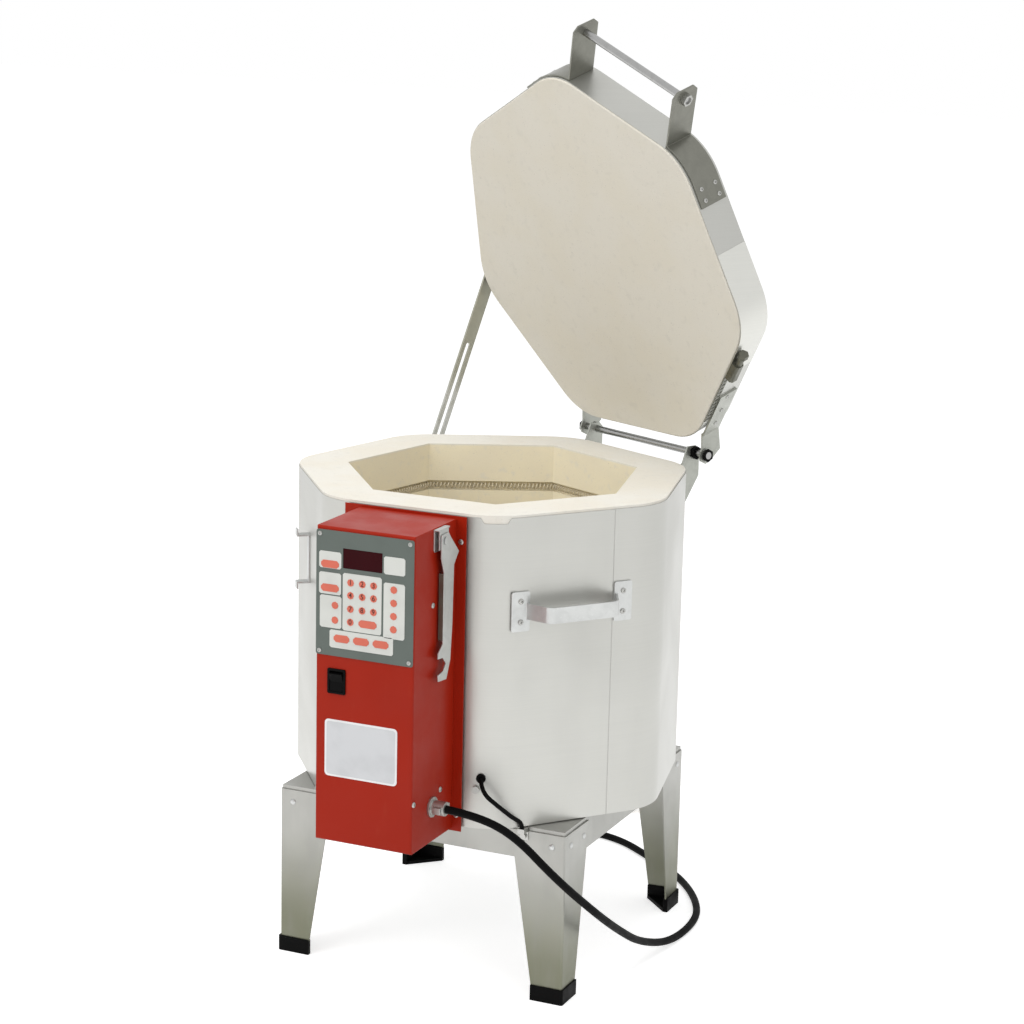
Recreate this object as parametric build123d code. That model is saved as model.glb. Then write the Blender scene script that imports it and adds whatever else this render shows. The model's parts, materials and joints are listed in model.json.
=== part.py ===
from build123d import *
import os
from math import asin, cos, degrees, hypot, pi, radians, sin, tan

# A small top-loading electric kiln with seven walls, its lid open on a brace.
# All sizes are millimetres. The kiln is modelled about its own upright axis with the
# control box facing -Y, and the export moves it so that the middle of its floor
# rectangle, lid open, is the origin.

# Firebricks
SIDES = 7
BRICK_LENGTH = 228.6
BRICK_WALL = 63.5
COURSE_HEIGHT = 114.3
COURSES = 3
SLAB_THICKNESS = 50.8
BRICK_CORNER = 78.0
GROOVE_RADIUS = 6.5
GROOVE_INSET = 3.0

# Heating elements, their porcelain tubes and the thermocouple
COIL_RADIUS = 4.2
TAIL_RADIUS = 1.6
TAIL_SPACING = 44.0
PORCELAIN_RADIUS = 4.5
PORCELAIN_REACH = 12.0
THERMOCOUPLE_RADIUS = 3.5
THERMOCOUPLE_REACH = 22.0
THERMOCOUPLE_RISE = 30.0
HOLE_CLEARANCE = 0.15

# Steel jacket
SHEET = 0.9
SHEET_FIT = 0.15
JACKET_TOP_DROP = 3.0
JACKET_FOOT_GAP = 1.0
JACKET_SEAM = 0.6
SEAM_ALONG = 47.0
NOTCH_LENGTH = 38.0
NOTCH_DEPTH = 8.0
SERVICE_WINDOW = 70.0

# Stand
STAND_HEIGHT = 225.0
RAIL_HALF = 197.0
RAIL_FLANGE = 42.0
RAIL_WEB = 42.0
RAIL_STEEL = 1.6
LEG_STEEL = 2.0
LEG_TOP_WIDTH = 74.0
LEG_FOOT_WIDTH = 40.0
LEG_TOP_DROP = 5.0
LEG_BEND = 3.0
FOOT_HEIGHT = 20.0
FOOT_SOLE = 5.0
FOOT_WALL = 2.2
RIVET_RADIUS = 4.0
RIVET_HEIGHT = 1.8
PAN_STEEL = 1.2
PAN_INSET = 6.0

# Hinge
ROD_RADIUS = 4.75
RUNNING = 0.05
HINGE_OUT = 24.5
HINGE_RISE = 11.5
POST_SPACING = 192.0
POST_STEEL = 2.5
POST_DROP = 76.0
EAR_SPACING = 236.0
EAR_RADIUS = 11.0
STRAP_STEEL = 2.5
STRAP_LENGTH = 84.0
STRAP_WIDTH = 30.0
COLLAR_RADIUS = 9.0
COLLAR_LENGTH = 6.0

# Lid
LID_GAP = 0.5
LID_OPEN = 71.0
BAND_INSET = 2.0
LID_HANDLE_REACH = 64.0
LID_HANDLE_SPACING = 172.0
LID_BRACKET_STEEL = 2.5
LID_BRACKET_WIDTH = 42.0
LID_BRACKET_LEAF = 68.0

# Brace, a slotted arm on the lid that slides over a stud on the body. Both studs are
# as far from the hinge, so the arm turns half as fast as the lid.
BRACE_RADIUS = 207.0
LID_STUD_ANGLE = 0.8
BODY_STUD_ANGLE = -27.6
BRACE_WIDTH = 19.0
BRACE_STEEL = 3.0
BRACE_STUD_RADIUS = 3.0
BRACE_STANDOFF = 2.4
SLOT_CLEARANCE = 0.3
BRACE_END = 12.0

# Control box
BOX_WIDTH = 130.0
BOX_DEPTH = 111.0
BOX_HEIGHT = 390.0
BOX_TOP_DROP = 6.0
BOX_SHEET = 1.2
BOX_BEND = 3.0
BACK_PLATE_LEFT = 86.0
BACK_PLATE_RIGHT = 78.0
BACK_PLATE_MARGIN = 3.0
BOX_STANDOFF = 4.0
FACE_MARGIN = 0.5
FACE_HEIGHT = 153.0
FACE_TOP_DROP = 4.0
FACE_SHEET = 1.5
DISPLAY_WIDTH = 52.0
DISPLAY_HEIGHT = 24.0
DISPLAY_DROP = 32.0
KEY_PANEL = 0.6
KEY_HEIGHT = 0.6
KEY_RADIUS = 4.6
SWITCH_WIDTH = 24.0
SWITCH_HEIGHT = 31.0
SWITCH_EDGE = 28.5
SWITCH_DROP = 188.0
ROCKER_TILT = 9.0
ROCKER_PIN_RADIUS = 1.5
SCREW_RADIUS = 3.6
SCREW_HEIGHT = 1.8
HEAD_SIDES = 8
RELAY_HEIGHT = 32.0
RELAY_SIZE = 30.0
TRANSFORMER_HEIGHT = 32.0

# Vent prop on the side of the box
PROP_STEEL = 1.6
PROP_PIN_RADIUS = 2.5
PROP_GAP = 7.0
PROP_BACK = 60.0
PROP_DROP = 16.0

# Carrying handle
HANDLE_LENGTH = 166.0
HANDLE_ALONG = -10.0
HANDLE_DROP = 119.0
HANDLE_PLATE_WIDTH = 25.0
HANDLE_PLATE_HEIGHT = 50.0
HANDLE_STEEL = 2.5
HANDLE_GRIP_HEIGHT = 20.0
HANDLE_REACH = 34.0

# Power cord. The route is a list chosen by hand, in the kiln's own frame.
CORD_DIAMETER = 10.0
CORD_SIDES = 10
CLAMP_LENGTH = 20.0
CLAMP_UP = 45.0
CLAMP_BACK = 57.0
COIL_RADIUS_MEAN = 66.0
COIL_X = -110.0
COIL_Y = 459.0
COIL_HEIGHT = 22.0
COIL_STUB = 50.0
LEAD_DIAMETER = 5.5
LEAD_Z = 291.0
LUG_ALONG = 55.0
LUG_OUT = 8.0

# Worked out from the sizes above
STEP = 360.0 / SIDES
HALF = pi / SIDES
BRICK_APOTHEM = BRICK_LENGTH / 2 / tan(HALF)
CHAMBER_APOTHEM = BRICK_APOTHEM - BRICK_WALL
JACKET_INNER = BRICK_APOTHEM + SHEET_FIT
JACKET_FACE = JACKET_INNER + SHEET
JACKET_CORNER = BRICK_CORNER + SHEET_FIT + SHEET
FLOOR_Z = STAND_HEIGHT + PAN_STEEL
WALL_Z = FLOOR_Z + SLAB_THICKNESS
RIM_Z = WALL_Z + COURSES * COURSE_HEIGHT
LID_Z = RIM_Z + LID_GAP
LID_TOP = LID_Z + SLAB_THICKNESS
HINGE_Y = -(JACKET_FACE + HINGE_OUT)
HINGE_Z = RIM_Z + HINGE_RISE
HINGE_WALL = 3
HANDLE_WALL = 1
BRACKET_WALL = 6
GROOVE_APOTHEM = CHAMBER_APOTHEM + GROOVE_INSET
BOX_BACK_Y = -(JACKET_FACE + BOX_STANDOFF + BOX_SHEET)
BOX_FRONT_Y = BOX_BACK_Y - BOX_DEPTH
BOX_TOP_Z = RIM_Z - BOX_TOP_DROP
BOX_FOOT_Z = BOX_TOP_Z - BOX_HEIGHT
FACE_WIDTH = BOX_WIDTH - 2 * FACE_MARGIN
SWITCH_OFFSET = SWITCH_EDGE - BOX_WIDTH / 2
FACE_TOP_Z = BOX_TOP_Z - FACE_TOP_DROP
FACE_MID_Z = FACE_TOP_Z - FACE_HEIGHT / 2
LEG_HALF = RAIL_HALF + LEG_STEEL
CORD_RADIUS = CORD_DIAMETER / 2
CLAMP_X = BOX_WIDTH / 2
CLAMP_Y = BOX_BACK_Y - CLAMP_BACK
CLAMP_Z = BOX_FOOT_Z + CLAMP_UP

NODES = {}
CORD_NODES = ("power_cord", "power_cord_coil", "power_plug", "plug_blades")


# Helpers

def outline(apothem, corner=0.0):
    """Seven-sided outline with a wall square to -Y and its corners rounded."""
    shape = RegularPolygon(apothem, SIDES, major_radius=False, rotation=90)
    if corner > 0:
        shape = fillet(shape.vertices(), corner)
    return shape


def prism(sketch, low, high):
    """Upright solid on a plan sketch."""
    return extrude(Pos(0, 0, low) * sketch, high - low)


def ring(inner, outer, inner_corner, outer_corner, low, high):
    """Upright seven-sided sleeve."""
    return prism(outline(outer, outer_corner) - outline(inner, inner_corner), low, high)


def face_of(points):
    """Flat face inside a closed run of points."""
    return make_face(Polyline(*points, close=True))


def wall(index):
    """Turns a piece made on the -Y wall onto another wall."""
    return Rot(0, 0, index * STEP)


def block(x, y, z):
    """Box between two limits along each axis."""
    size = (x[1] - x[0], y[1] - y[0], z[1] - z[0])
    return Pos(sum(x) / 2, sum(y) / 2, sum(z) / 2) * Box(*size)


def rod_x(radius, start, end, y, z):
    """Round bar along X."""
    return Pos((start + end) / 2, y, z) * Rot(0, 90, 0) * Cylinder(radius, end - start)


def rod_y(radius, start, end, x, z):
    """Round bar along Y."""
    return Pos(x, (start + end) / 2, z) * Rot(90, 0, 0) * Cylinder(radius, end - start)


def plate_x(points, x, thickness):
    """Flat plate square to X on an outline of (y, z) points."""
    return extrude(Plane.YZ.offset(x) * face_of(points), thickness)


def dome(radius, height):
    """Low screw or rivet head with few faces that stands on the XY plane."""
    return extrude(RegularPolygon(radius, HEAD_SIDES), height)


def bar_y(radius, start, end, x, z, sides=HEAD_SIDES):
    """Small round pin along Y with few faces."""
    return Pos(x, end, z) * Rot(90, 0, 0) * extrude(RegularPolygon(radius, sides), end - start)


def bar_x(radius, start, end, y, z, sides=12):
    """Small round pin along X with few faces."""
    return Pos(start, y, z) * Rot(0, 90, 0) * extrude(RegularPolygon(radius, sides), end - start)


def head_front(x, y, z, radius=SCREW_RADIUS, height=SCREW_HEIGHT):
    """Screw head that faces -Y."""
    return Pos(x, y, z) * Rot(90, 0, 0) * dome(radius, height)


def head_right(x, y, z, radius=SCREW_RADIUS, height=SCREW_HEIGHT):
    """Screw head that faces +X."""
    return Pos(x, y, z) * Rot(0, 90, 0) * dome(radius, height)


def tube_along(points, diameter, sides):
    """Cord of straight runs and tangent arcs, with each arc as large as its runs allow."""
    runs = [Vector(*b) - Vector(*a) for a, b in zip(points, points[1:])]
    radii = []
    for before, after in zip(runs, runs[1:]):
        turn = radians(before.get_angle(after))
        radii.append(0.45 * min(before.length, after.length) / tan(turn / 2))
    print("cord radii", [round(r) for r in radii], "diameters", round(min(radii) / diameter, 1))
    path = FilletPolyline(*points, radius=radii)
    start = Plane(path @ 0, x_dir=(0, 0, 1), z_dir=path % 0)
    tube = sweep(start * RegularPolygon(diameter / 2, sides), path=path)
    print("cord length", round(path.length), "volume ratio",
          round(tube.volume / (pi * diameter ** 2 / 4 * path.length), 4))
    return tube


def save(name, *shapes):
    """Adds solids to a node; fasteners of one kind share a node."""
    NODES.setdefault(name, []).extend(solid for shape in shapes for solid in shape.solids())


# Brickwork

def wedge(index):
    """Plan sector of one wall."""
    reach = 3 * BRICK_APOTHEM
    middle = radians(-90 + index * STEP)
    points = [(0, 0)]
    points += [(reach * cos(middle + side * HALF), reach * sin(middle + side * HALF)) for side in (-1, 1)]
    return face_of(points)


def wall_course(course):
    """Seven mitred wall bricks with the element groove across their inner faces."""
    low = WALL_Z + course * COURSE_HEIGHT
    middle = low + COURSE_HEIGHT / 2
    plan = outline(BRICK_APOTHEM, BRICK_CORNER) - outline(CHAMBER_APOTHEM)
    bricks = []
    for index in range(SIDES):
        brick = prism(plan & wedge(index), low, low + COURSE_HEIGHT)
        reach = BRICK_LENGTH
        profile = Rot(0, 0, 22.5) * RegularPolygon(GROOVE_RADIUS, 8, major_radius=False)
        groove = Pos(-reach, -GROOVE_APOTHEM, middle) * Rot(0, 90, 0) * extrude(profile, 2 * reach)
        brick -= wall(index) * groove
        if index == 0:
            for side in (-1, 1):
                x = side * TAIL_SPACING / 2
                bore = PORCELAIN_RADIUS + HOLE_CLEARANCE
                brick -= bar_y(bore, -2 * BRICK_APOTHEM, -GROOVE_APOTHEM, x, middle)
            if course == 1:
                bore = THERMOCOUPLE_RADIUS + HOLE_CLEARANCE
                brick -= bar_y(bore, -2 * BRICK_APOTHEM, 0, 0, middle + THERMOCOUPLE_RISE)
        bricks.append(brick)
    return bricks


def element(course):
    """One heating coil as its outer tube, round the groove, with two straight tails."""
    z = WALL_Z + (course + 0.5) * COURSE_HEIGHT
    tail_x = TAIL_SPACING / 2
    radius = GROOVE_APOTHEM / cos(HALF)
    corners = [radians(-90 + (index + 0.5) * STEP) for index in range(SIDES)]
    points = [(tail_x - COIL_RADIUS, -GROOVE_APOTHEM, z)]
    points += [(radius * cos(a), radius * sin(a), z) for a in corners]
    points += [(-tail_x + COIL_RADIUS, -GROOVE_APOTHEM, z)]
    path = Polyline(*points)
    start = Plane(path @ 0, z_dir=path % 0)
    coil = sweep(start * RegularPolygon(COIL_RADIUS, 10), path=path, transition=Transition.RIGHT)
    for side in (-1, 1):
        coil += bar_y(TAIL_RADIUS, BOX_BACK_Y - PORCELAIN_REACH - 6, -GROOVE_APOTHEM, side * tail_x, z)
    return coil


def porcelain_tubes():
    """Tubes that carry the element tails through the wall into the box."""
    tubes = []
    start = -(GROOVE_APOTHEM + GROOVE_RADIUS + 1)
    for course in range(COURSES):
        z = WALL_Z + (course + 0.5) * COURSE_HEIGHT
        for side in (-1, 1):
            x = side * TAIL_SPACING / 2
            tube = bar_y(PORCELAIN_RADIUS, BOX_BACK_Y - PORCELAIN_REACH, start, x, z)
            tube -= bar_y(TAIL_RADIUS + HOLE_CLEARANCE, BOX_BACK_Y - 2 * PORCELAIN_REACH, 0, x, z)
            tubes.append(tube)
    return tubes


def brickwork():
    """Floor slab, three wall courses, the elements and their porcelain."""
    save("floor_slab", prism(outline(BRICK_APOTHEM, BRICK_CORNER), FLOOR_Z, WALL_Z))
    for course in range(COURSES):
        save(f"brick_course_{course + 1}", *wall_course(course))
    save("heating_elements", *[element(course) for course in range(COURSES)])
    save("porcelain_tubes", *porcelain_tubes())
    z = WALL_Z + 1.5 * COURSE_HEIGHT + THERMOCOUPLE_RISE
    tip = -(CHAMBER_APOTHEM - THERMOCOUPLE_REACH)
    sheath = bar_y(THERMOCOUPLE_RADIUS, BOX_BACK_Y - 6, tip, 0, z)
    save("thermocouple", chamfer(sheath.faces().sort_by(Axis.Y)[-1].edges(), THERMOCOUPLE_RADIUS * 0.3))
    head = block((-16, 16), (BOX_BACK_Y - 18, BOX_BACK_Y), (z - 10, z + 10))
    head = fillet(head.edges().filter_by(Axis.Y), 4)
    save("thermocouple", head - bar_y(THERMOCOUPLE_RADIUS, BOX_BACK_Y - 6, 0, 0, z))


# Jacket and pan

def corner_place(normal_angle):
    """Point on the jacket's rounded front right corner where its normal has this angle."""
    middle = radians(-90 + STEP / 2)
    reach = (JACKET_FACE - JACKET_CORNER) / cos(HALF)
    a = radians(normal_angle)
    x = reach * cos(middle) + JACKET_CORNER * cos(a)
    y = reach * sin(middle) + JACKET_CORNER * sin(a)
    return x, y


def jacket():
    """Bent sheet round the brickwork, with its seam, rim notch and service window."""
    low = STAND_HEIGHT + JACKET_FOOT_GAP
    high = RIM_Z - JACKET_TOP_DROP
    sleeve = ring(JACKET_INNER, JACKET_FACE, BRICK_CORNER + SHEET_FIT, JACKET_CORNER, low, high)
    deep = (-JACKET_FACE - 5, -JACKET_INNER + 5)
    seam = block((SEAM_ALONG, SEAM_ALONG + JACKET_SEAM), deep, (low - 1, high + 1))
    sleeve -= wall(HANDLE_WALL) * seam
    window = block((-SERVICE_WINDOW / 2, SERVICE_WINDOW / 2), deep, (WALL_Z + 20, RIM_Z - 25))
    sleeve -= window
    top, half = high + 1, NOTCH_LENGTH / 2
    shape = [(-half, top), (half, top), (half - 5, top - NOTCH_DEPTH), (-half + 5, top - NOTCH_DEPTH)]
    x, y = corner_place(-90 + STEP / 2)
    notch = extrude(Plane.XZ.offset(-20) * face_of(shape), 40)
    sleeve -= Pos(x, y, 0) * Rot(0, 0, STEP / 2) * notch
    return sleeve


def shell_pieces():
    """Jacket and the pan that the slab rests on."""
    save("jacket", jacket())
    pan = prism(outline(BRICK_APOTHEM - PAN_INSET, BRICK_CORNER - PAN_INSET), STAND_HEIGHT, FLOOR_Z)
    save("bottom_pan", pan)


# Stand

def stand_rails():
    """Four angle rails, mitred at the corners."""
    top = STAND_HEIGHT
    outer = Rectangle(2 * RAIL_HALF, 2 * RAIL_HALF)
    web_bore = 2 * (RAIL_HALF - RAIL_STEEL)
    flange_bore = 2 * (RAIL_HALF - RAIL_FLANGE)
    web = prism(outer - Rectangle(web_bore, web_bore), top - RAIL_WEB, top)
    flange = prism(outer - Rectangle(flange_bore, flange_bore), top - RAIL_STEEL, top)
    frame = web + flange
    reach = 2 * RAIL_HALF
    sector = prism(face_of([(0, 0), (-reach, -reach), (reach, -reach)]), top - RAIL_WEB, top)
    return [frame & (Rot(0, 0, 90 * turn) * sector) for turn in range(4)]


def leg():
    """Tapered angle leg of the front right corner."""
    top = STAND_HEIGHT - LEG_TOP_DROP
    edge = LEG_HALF
    side = [(-edge, FOOT_SOLE), (-edge, top), (-edge + LEG_TOP_WIDTH, top), (-edge + LEG_FOOT_WIDTH, FOOT_SOLE)]
    right = plate_x(side, edge - LEG_STEEL, LEG_STEEL)
    front_points = [(edge - (y + edge), z) for y, z in side]
    front = extrude(Plane.XZ.offset(edge) * face_of(front_points), -LEG_STEEL)
    shape = right + front
    fold = shape.edges().filter_by(Axis.Z).sort_by(lambda e: e.center().X - e.center().Y)[-1]
    return fillet(fold, LEG_BEND)


def foot(leg_solid):
    """Moulded boot round the leg's foot, with a square sole."""
    edge = LEG_HALF + FOOT_WALL
    inside = LEG_HALF - LEG_FOOT_WIDTH - FOOT_WALL
    arm = LEG_STEEL + 2 * FOOT_WALL
    sole = prism(face_of([(inside, -edge), (edge, -edge), (edge, -inside), (edge - arm, -inside),
                          (inside, arm - edge)]), 0, FOOT_SOLE)
    boot = sole + block((edge - arm, edge), (-edge, -inside), (0, FOOT_HEIGHT))
    boot += block((inside, edge), (-edge, -edge + arm), (0, FOOT_HEIGHT))
    rim = boot.edges().filter_by(Axis.Z).sort_by(lambda e: e.center().X - e.center().Y)[-1]
    boot = fillet(rim, LEG_BEND)
    pocket = block((0, LEG_HALF), (-LEG_HALF, 0), (FOOT_SOLE, FOOT_HEIGHT + 1))
    taper = leg_solid & pocket
    return boot - taper


def stand():
    """Rails, legs, feet and the rivets that join them."""
    rails = stand_rails()
    save("stand_rails", *rails)
    corners = {"front_right": 0, "back_right": 1, "back_left": 2, "front_left": 3}
    first_leg = leg()
    first_foot = foot(first_leg)
    rivets = []
    z = STAND_HEIGHT - RAIL_WEB / 2
    for name, turn in corners.items():
        save(f"leg_{name}", Rot(0, 0, 90 * turn) * first_leg)
        save(f"foot_{name}", Rot(0, 0, 90 * turn) * first_foot)
        for along in (18.0, 58.0):
            place = LEG_HALF - along
            for head in (head_front(place, -LEG_HALF, z, RIVET_RADIUS, RIVET_HEIGHT),
                         head_right(LEG_HALF, -place, z, RIVET_RADIUS, RIVET_HEIGHT)):
                rivets.append(Rot(0, 0, 90 * turn) * head)
    save("stand_rivets", *rivets)


# Hinge, modelled on the -Y wall and turned onto the hinge wall

def hinge_post(side):
    """Bent post that carries one end of the hinge rod."""
    x = side * POST_SPACING / 2
    face = -JACKET_FACE
    low = HINGE_Z - POST_DROP
    outer = HINGE_Y - ROD_RADIUS - 4
    shape = [(face + 6, low), (face - 4, low), (outer, HINGE_Z - 32), (outer, HINGE_Z + 3),
             (outer + 6, HINGE_Z + 9), (face - 12, HINGE_Z + 9), (face - 4, RIM_Z - 1), (face + 6, RIM_Z - 7)]
    web = plate_x(shape, x - POST_STEEL / 2, POST_STEEL)
    web -= prism(outline(JACKET_FACE, JACKET_CORNER), 0, RIM_Z + 1)
    inner = side * (POST_SPACING / 2 - 36)
    flange = block(sorted((inner, x + side * POST_STEEL / 2)), (face - POST_STEEL, face), (low, HINGE_Z - 22))
    post = web + flange
    return post - rod_x(ROD_RADIUS, -2 * POST_SPACING, 2 * POST_SPACING, HINGE_Y, HINGE_Z)


def hinge_pieces():
    """Rod, collars, posts and the brace's stud on the body."""
    turn = wall(HINGE_WALL)
    for name, side in (("right", -1), ("left", 1)):
        save(f"hinge_post_{name}", turn * hinge_post(side))
    end = EAR_SPACING / 2 + STRAP_STEEL / 2 + 5
    save("hinge_rod", turn * rod_x(ROD_RADIUS, -end, end, HINGE_Y, HINGE_Z))
    collars = []
    start = POST_SPACING / 2 + POST_STEEL / 2
    for side in (-1, 1):
        for near in (start, end - 2.5):
            far = near + (COLLAR_LENGTH if near == start else 2.5)
            span = sorted((side * near, side * far))
            collar = Pos(span[0], HINGE_Y, HINGE_Z) * Rot(0, 90, 0) * extrude(RegularPolygon(COLLAR_RADIUS, 6), span[1] - span[0])
            collars.append(turn * (collar - rod_x(ROD_RADIUS, -2 * end, 2 * end, HINGE_Y, HINGE_Z)))
    save("hinge_collars", *collars)
    heads = []
    for side in (-1, 1):
        for z in (HINGE_Z - 64, HINGE_Z - 34):
            x = side * (POST_SPACING / 2 - 22)
            heads.append(turn * head_front(x, -JACKET_FACE - POST_STEEL, z))
    save("body_screws", *heads)


# Lid pieces are made closed and then opened about the hinge

def hinge_axis():
    """Hinge line of the lid; a positive turn about it opens the lid."""
    turn = radians(HINGE_WALL * STEP)
    origin = (-HINGE_Y * sin(turn), HINGE_Y * cos(turn), HINGE_Z)
    return Axis(origin, (cos(turn), sin(turn), 0))


def opened(shape):
    """The lid's pieces at the opening that the brace holds."""
    return shape.rotate(hinge_axis(), LID_OPEN)


def save_lid(name, *solids):
    """Keeps a lid node in the open position."""
    save(name, *[opened(solid) for solid in solids])


def lid_strap(side):
    """Hinge strap: a leaf on the lid's side and an ear that turns on the rod."""
    low = LID_Z + 13
    high = low + STRAP_WIDTH
    x = side * EAR_SPACING / 2
    corner_x = JACKET_FACE * tan(HALF)
    start = corner_x - (EAR_SPACING / 2 - corner_x) / cos(radians(STEP)) + 2
    end = start - STRAP_LENGTH
    leaf_span = sorted((-side * start, -side * end))
    leaf = wall(side) * block(leaf_span, (-JACKET_FACE - STRAP_STEEL, -JACKET_FACE), (low, high))
    back = -(JACKET_FACE - sin(radians(STEP)) * EAR_SPACING / 2) / cos(radians(STEP))
    shape = [(back + 1.5, low), (back + 1.5, high), (HINGE_Y - 2, high - 6), (HINGE_Y - EAR_RADIUS, HINGE_Z + 4),
             (HINGE_Y - EAR_RADIUS, HINGE_Z - 4), (HINGE_Y - 4, HINGE_Z - EAR_RADIUS),
             (HINGE_Y + 4, HINGE_Z - EAR_RADIUS), (HINGE_Y + EAR_RADIUS, HINGE_Z - 4)]
    ear = plate_x(shape, x - STRAP_STEEL / 2, STRAP_STEEL)
    ear -= rod_x(ROD_RADIUS + RUNNING, -EAR_SPACING, EAR_SPACING, HINGE_Y, HINGE_Z)
    return leaf + ear


def lid_bracket(side):
    """Handle bracket: a leaf on the lid's side, round the corner and out to the rod."""
    middle = (LID_Z + LID_TOP) / 2
    low, high = middle - LID_BRACKET_WIDTH / 2, middle + LID_BRACKET_WIDTH / 2
    steel = LID_BRACKET_STEEL
    x = LID_HANDLE_SPACING / 2
    normal = radians(-90 + STEP)
    tangent = (-sin(normal), cos(normal))
    along = -JACKET_FACE * tan(HALF) + LID_BRACKET_LEAF
    near = [(JACKET_FACE + d) * cos(normal) + along * tangent[0] for d in (-20, 20)]
    across = [(JACKET_FACE + d) * sin(normal) + along * tangent[1] for d in (-20, 20)]
    region = face_of([(x, -JACKET_FACE + 20), (x, -JACKET_FACE - 20), (near[1] - 10, -JACKET_FACE - 20),
                      (near[1], across[1]), (near[0], across[0])])
    sleeve = outline(JACKET_FACE + steel, JACKET_CORNER + steel) - outline(JACKET_FACE, JACKET_CORNER)
    leaf = prism(sleeve & region, low, high)
    rod_out = -(JACKET_FACE + LID_HANDLE_REACH)
    tip = rod_out - 14
    shape = [(-JACKET_FACE + 1, low), (-JACKET_FACE + 1, high), (tip + 7, high), (tip, high - 7),
             (tip, low + 7), (tip + 7, low)]
    arm = plate_x(shape, x, steel)
    arm -= prism(outline(JACKET_FACE, JACKET_CORNER), low - 1, high + 1)
    arm -= rod_x(ROD_RADIUS, 0, 2 * x, rod_out, middle)
    bracket = leaf + arm
    return bracket if side > 0 else mirror(bracket, about=Plane.YZ)


def lid_handle():
    """Rod between the two brackets, with a nut on each end."""
    middle = (LID_Z + LID_TOP) / 2
    y = -(JACKET_FACE + LID_HANDLE_REACH)
    half = LID_HANDLE_SPACING / 2 + LID_BRACKET_STEEL
    save_lid("lid_handle_rod", rod_x(ROD_RADIUS, -half - 4, half + 4, y, middle))
    nuts = []
    for side in (-1, 1):
        nut = Pos(side * (half + 3), y, middle) * Rot(0, 90, 0) * extrude(RegularPolygon(8, 6), 3, both=True)
        nuts.append(nut - rod_x(ROD_RADIUS, -2 * half, 2 * half, y, middle))
    save_lid("lid_screws_and_nuts", *nuts)
    for name, side in (("right", 1), ("left", -1)):
        save_lid(f"lid_bracket_{name}", lid_bracket(side))
    heads = []
    for side in (-1, 1):
        for along in (45.0, 60.0):
            for z in (middle - 12, middle + 12):
                x = -side * (JACKET_FACE * tan(HALF) - along)
                heads.append(wall(side) * head_front(x, -JACKET_FACE - LID_BRACKET_STEEL, z, 3.0, 1.6))
    save_lid("lid_screws_and_nuts", *heads)


def band_clamp():
    """Worm clamp that draws the lid's band tight: slotted strap, housing and screw."""
    turn = wall(2)
    low = LID_Z + 2.5
    face = -JACKET_FACE
    strap = block((-70, 74), (face - 0.8, face), (low, low + 9.5))
    for step in range(12):
        x = -20 + 8 * step
        strap -= block((x, x + 3), (face - 2, face + 1), (low + 2, low + 7.5))
    housing = block((-50, -20), (face - 12, face - 0.8), (low, low + 14))
    housing = chamfer(housing.edges().filter_by(Axis.X).group_by(Axis.Y)[0], 3)
    screw = bar_x(4.5, -66, -50, face - 7, low + 7)
    screw += bar_x(7, -72, -65, face - 7.5, low + 7, 6)
    save_lid("band_clamp_strap", turn * (strap + housing))
    save_lid("band_clamp_screw", turn * screw)


def lid():
    """Slab, band, hinge straps, handle and clamp."""
    save_lid("lid_slab", prism(outline(BRICK_APOTHEM, BRICK_CORNER), LID_Z, LID_TOP))
    band = ring(JACKET_INNER, JACKET_FACE, BRICK_CORNER + SHEET_FIT, JACKET_CORNER, LID_Z + BAND_INSET, LID_TOP)
    save_lid("lid_band", band)
    turn = wall(HINGE_WALL)
    for name, side in (("right", -1), ("left", 1)):
        save_lid(f"lid_strap_{name}", turn * lid_strap(side))
    heads = []
    for side in (-1, 1):
        for along in (16.0, 44.0, 72.0):
            corner_x = JACKET_FACE * tan(HALF)
            x = -side * (corner_x - along - 8)
            heads.append(turn * wall(side) * head_front(x, -JACKET_FACE - STRAP_STEEL, LID_Z + 28, 3.0, 1.6))
    save_lid("lid_screws_and_nuts", *heads)
    lid_handle()
    band_clamp()


# Brace

def brace_point(angle):
    """Place (y, z) of a stud on the circle about the hinge."""
    y = HINGE_Y + BRACE_RADIUS * cos(radians(angle))
    z = HINGE_Z + BRACE_RADIUS * sin(radians(angle))
    return y, z


def brace_face():
    """Distance along the hinge to the brace's inner face."""
    corner = (JACKET_FACE - JACKET_CORNER) / cos(HALF)
    return corner * cos(radians(STEP * 1.5 - 90)) + JACKET_CORNER + BRACE_STANDOFF


def stud(point, apothem_low, apothem_high):
    """Shouldered stud that stands on the wall and ends in a flat head."""
    inner = brace_face()
    y, z = point
    shaft = inner + BRACE_STEEL + 1.2
    body = bar_x(7, inner - 40, inner - 0.4, y, z)
    body -= prism(outline(JACKET_FACE, JACKET_CORNER), apothem_low, apothem_high)
    body += rod_x(BRACE_STUD_RADIUS, inner - 1, shaft, y, z)
    body += bar_x(6.5, shaft - 0.4, shaft + 1.6, y, z)
    return body


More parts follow.
